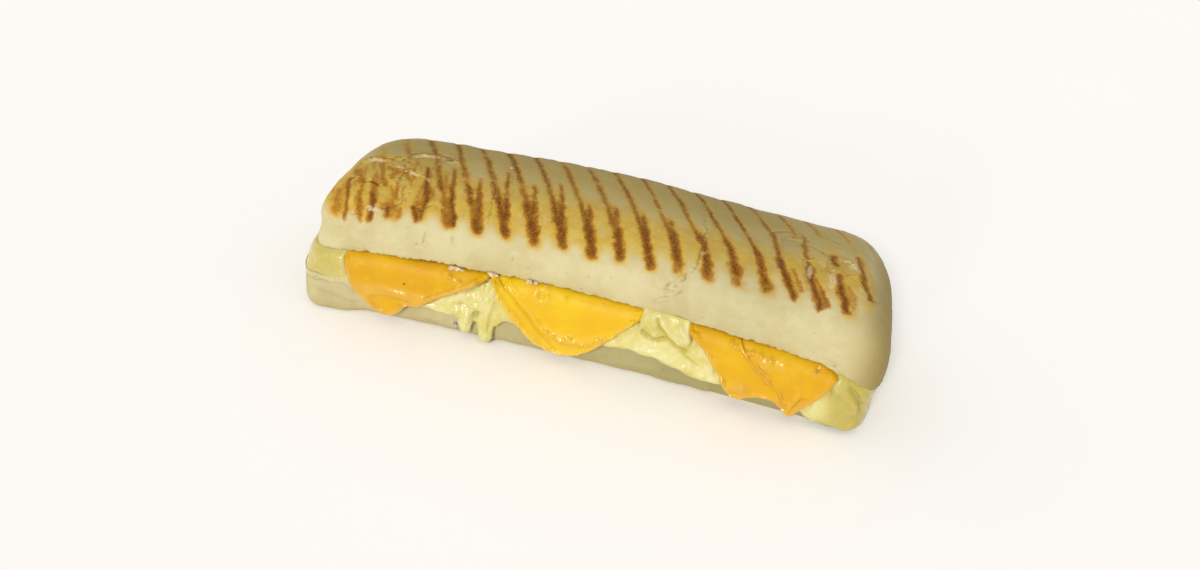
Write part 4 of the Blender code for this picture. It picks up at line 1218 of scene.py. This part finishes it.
def heel_finish():
    """Pale soft bread, tanned where it lay on the grill, with painted shade in its creases and a painted
    shadow beneath the cheese that grows towards the right.
    """
    finish = Finish("pale heel")
    low, deep, shadow_under_cheese = finish.value("low"), finish.value("deep"), finish.value("shadow_under_cheese")
    broad, middling, fine = finish.grain(18.0), finish.grain(4.0), finish.grain(0.7)
    colour = finish.blend(broad.eased(0.35, 0.65), paint(209, 196, 148), paint(196, 182, 128))
    colour = finish.blend(middling.eased(0.5, 0.8) * 0.5, colour, paint(220, 207, 166))
    # Painted shadow: the heel darkened towards the right, beneath the cheese.
    colour = finish.blend(shadow_under_cheese * (0.60 + 0.5 * broad), colour, paint(168, 158, 106))
    colour = finish.blend(low * 0.6, colour, paint(186, 168, 112))
    # Painted shade in the creases and hollows.
    colour = finish.blend(deep * 0.5, colour, paint(184, 166, 110))
    foil = finish.blend(fine.eased(0.4, 0.6), paint(206, 204, 198), paint(96, 92, 84))
    colour = finish.blend(finish.value("fleck").eased(0.25, 0.75), colour, foil)
    colour = finish.blend(fine.eased(0.62, 0.75) * 0.35, colour, paint(176, 152, 100))
    relief = middling * 0.5 + fine * 0.3
    rough = 0.55 + 0.2 * fine
    return finish.surface(colour, rough, relief, 0.3, Specular_IOR_Level=0.35,
                          Subsurface_Weight=0.06, Subsurface_Scale=0.002)


def picture_camera():
    """The camera at the photograph's viewing angle, turned a little clockwise."""
    azimuth, elevation, roll = (math.radians(angle) for angle in (9.93, 34.91, 7.39))
    distance = 430.58 * MM
    target = Vector((3.57, -16.43, 28.72)) * MM
    back = Vector((math.sin(azimuth) * math.cos(elevation), -math.cos(azimuth) * math.cos(elevation),
                   math.sin(elevation)))
    right = Vector((math.cos(azimuth), math.sin(azimuth), 0.0))
    up = back.cross(right)
    turned_right = right * math.cos(roll) + up * math.sin(roll)
    turned_up = up * math.cos(roll) - right * math.sin(roll)
    data = bpy.data.cameras.new("picture_camera")
    data.sensor_width = 36.0
    data.lens = 29.84
    data.clip_start = 0.01
    camera = bpy.data.objects.new("picture_camera", data)
    placed = Matrix((turned_right, turned_up, back)).transposed().to_4x4()
    placed.translation = target + back * distance
    camera.matrix_world = placed
    bpy.context.scene.collection.objects.link(camera)
    bpy.context.scene.camera = camera


def soft_light(name, azimuth, elevation, spread, strength, tint):
    """A far light of a spread that shines from a direction seen from the front, in degrees."""
    data = bpy.data.lights.new(name, "SUN")
    data.angle = math.radians(spread)
    data.energy = strength
    data.color = tint
    light = bpy.data.objects.new(name, data)
    turn, rise = math.radians(azimuth), math.radians(elevation)
    towards = Vector((math.sin(turn) * math.cos(rise), -math.cos(turn) * math.cos(rise), math.sin(rise)))
    light.location = towards
    light.rotation_euler = towards.to_track_quat("Z", "Y").to_euler()
    bpy.context.scene.collection.objects.link(light)


def studio():
    """A plain pale floor, an even surrounding light and soft lights near the camera."""
    bpy.ops.mesh.primitive_plane_add(size=4.0, location=(0.0, 0.0, 0.0))
    floor = bpy.context.active_object
    floor.name = "floor"
    paper = Finish("pale paper")
    tone = paper.blend(paper.grain(120.0), paint(255, 254, 252, 1.0), paint(254, 252, 250, 1.0))
    floor.data.materials.append(paper.surface(tone, 0.9, paper.grain(3.0), 0.02, Specular_IOR_Level=0.0))
    world = bpy.data.worlds.new("studio")
    world.use_nodes = True
    background = world.node_tree.nodes["Background"]
    background.inputs["Color"].default_value = (1.0, 0.985, 0.965, 1.0)
    background.inputs["Strength"].default_value = 0.66
    bpy.context.scene.world = world
    bpy.context.scene.view_settings.view_transform = "Standard"
    soft_light("key", -10.0, 33.0, 12.0, 1.75, (1.0, 0.99, 0.97))
    soft_light("low", -18.0, 12.0, 8.0, 0.35, (1.0, 0.99, 0.97))


def place(piece, node, slot):
    """A piece takes the place of its node, which is hidden, and rides on the loaf."""
    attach(piece, "root")
    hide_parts(node)


picture_camera()
studio()
place(crown(crust_finish()), "bread_top", "crown_bread")
place(mozzarella(mozzarella_finish()), "mozzarella", "mozzarella")
melted = cheddar_finish()
for slice_name in SLICES:
    place(cheddar(slice_name, melted), slice_name, "cheddar")
place(heel(heel_finish()), "bread_bottom", "heel_bread")
loose = crumbs(crumb_finish())
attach(loose, "root")
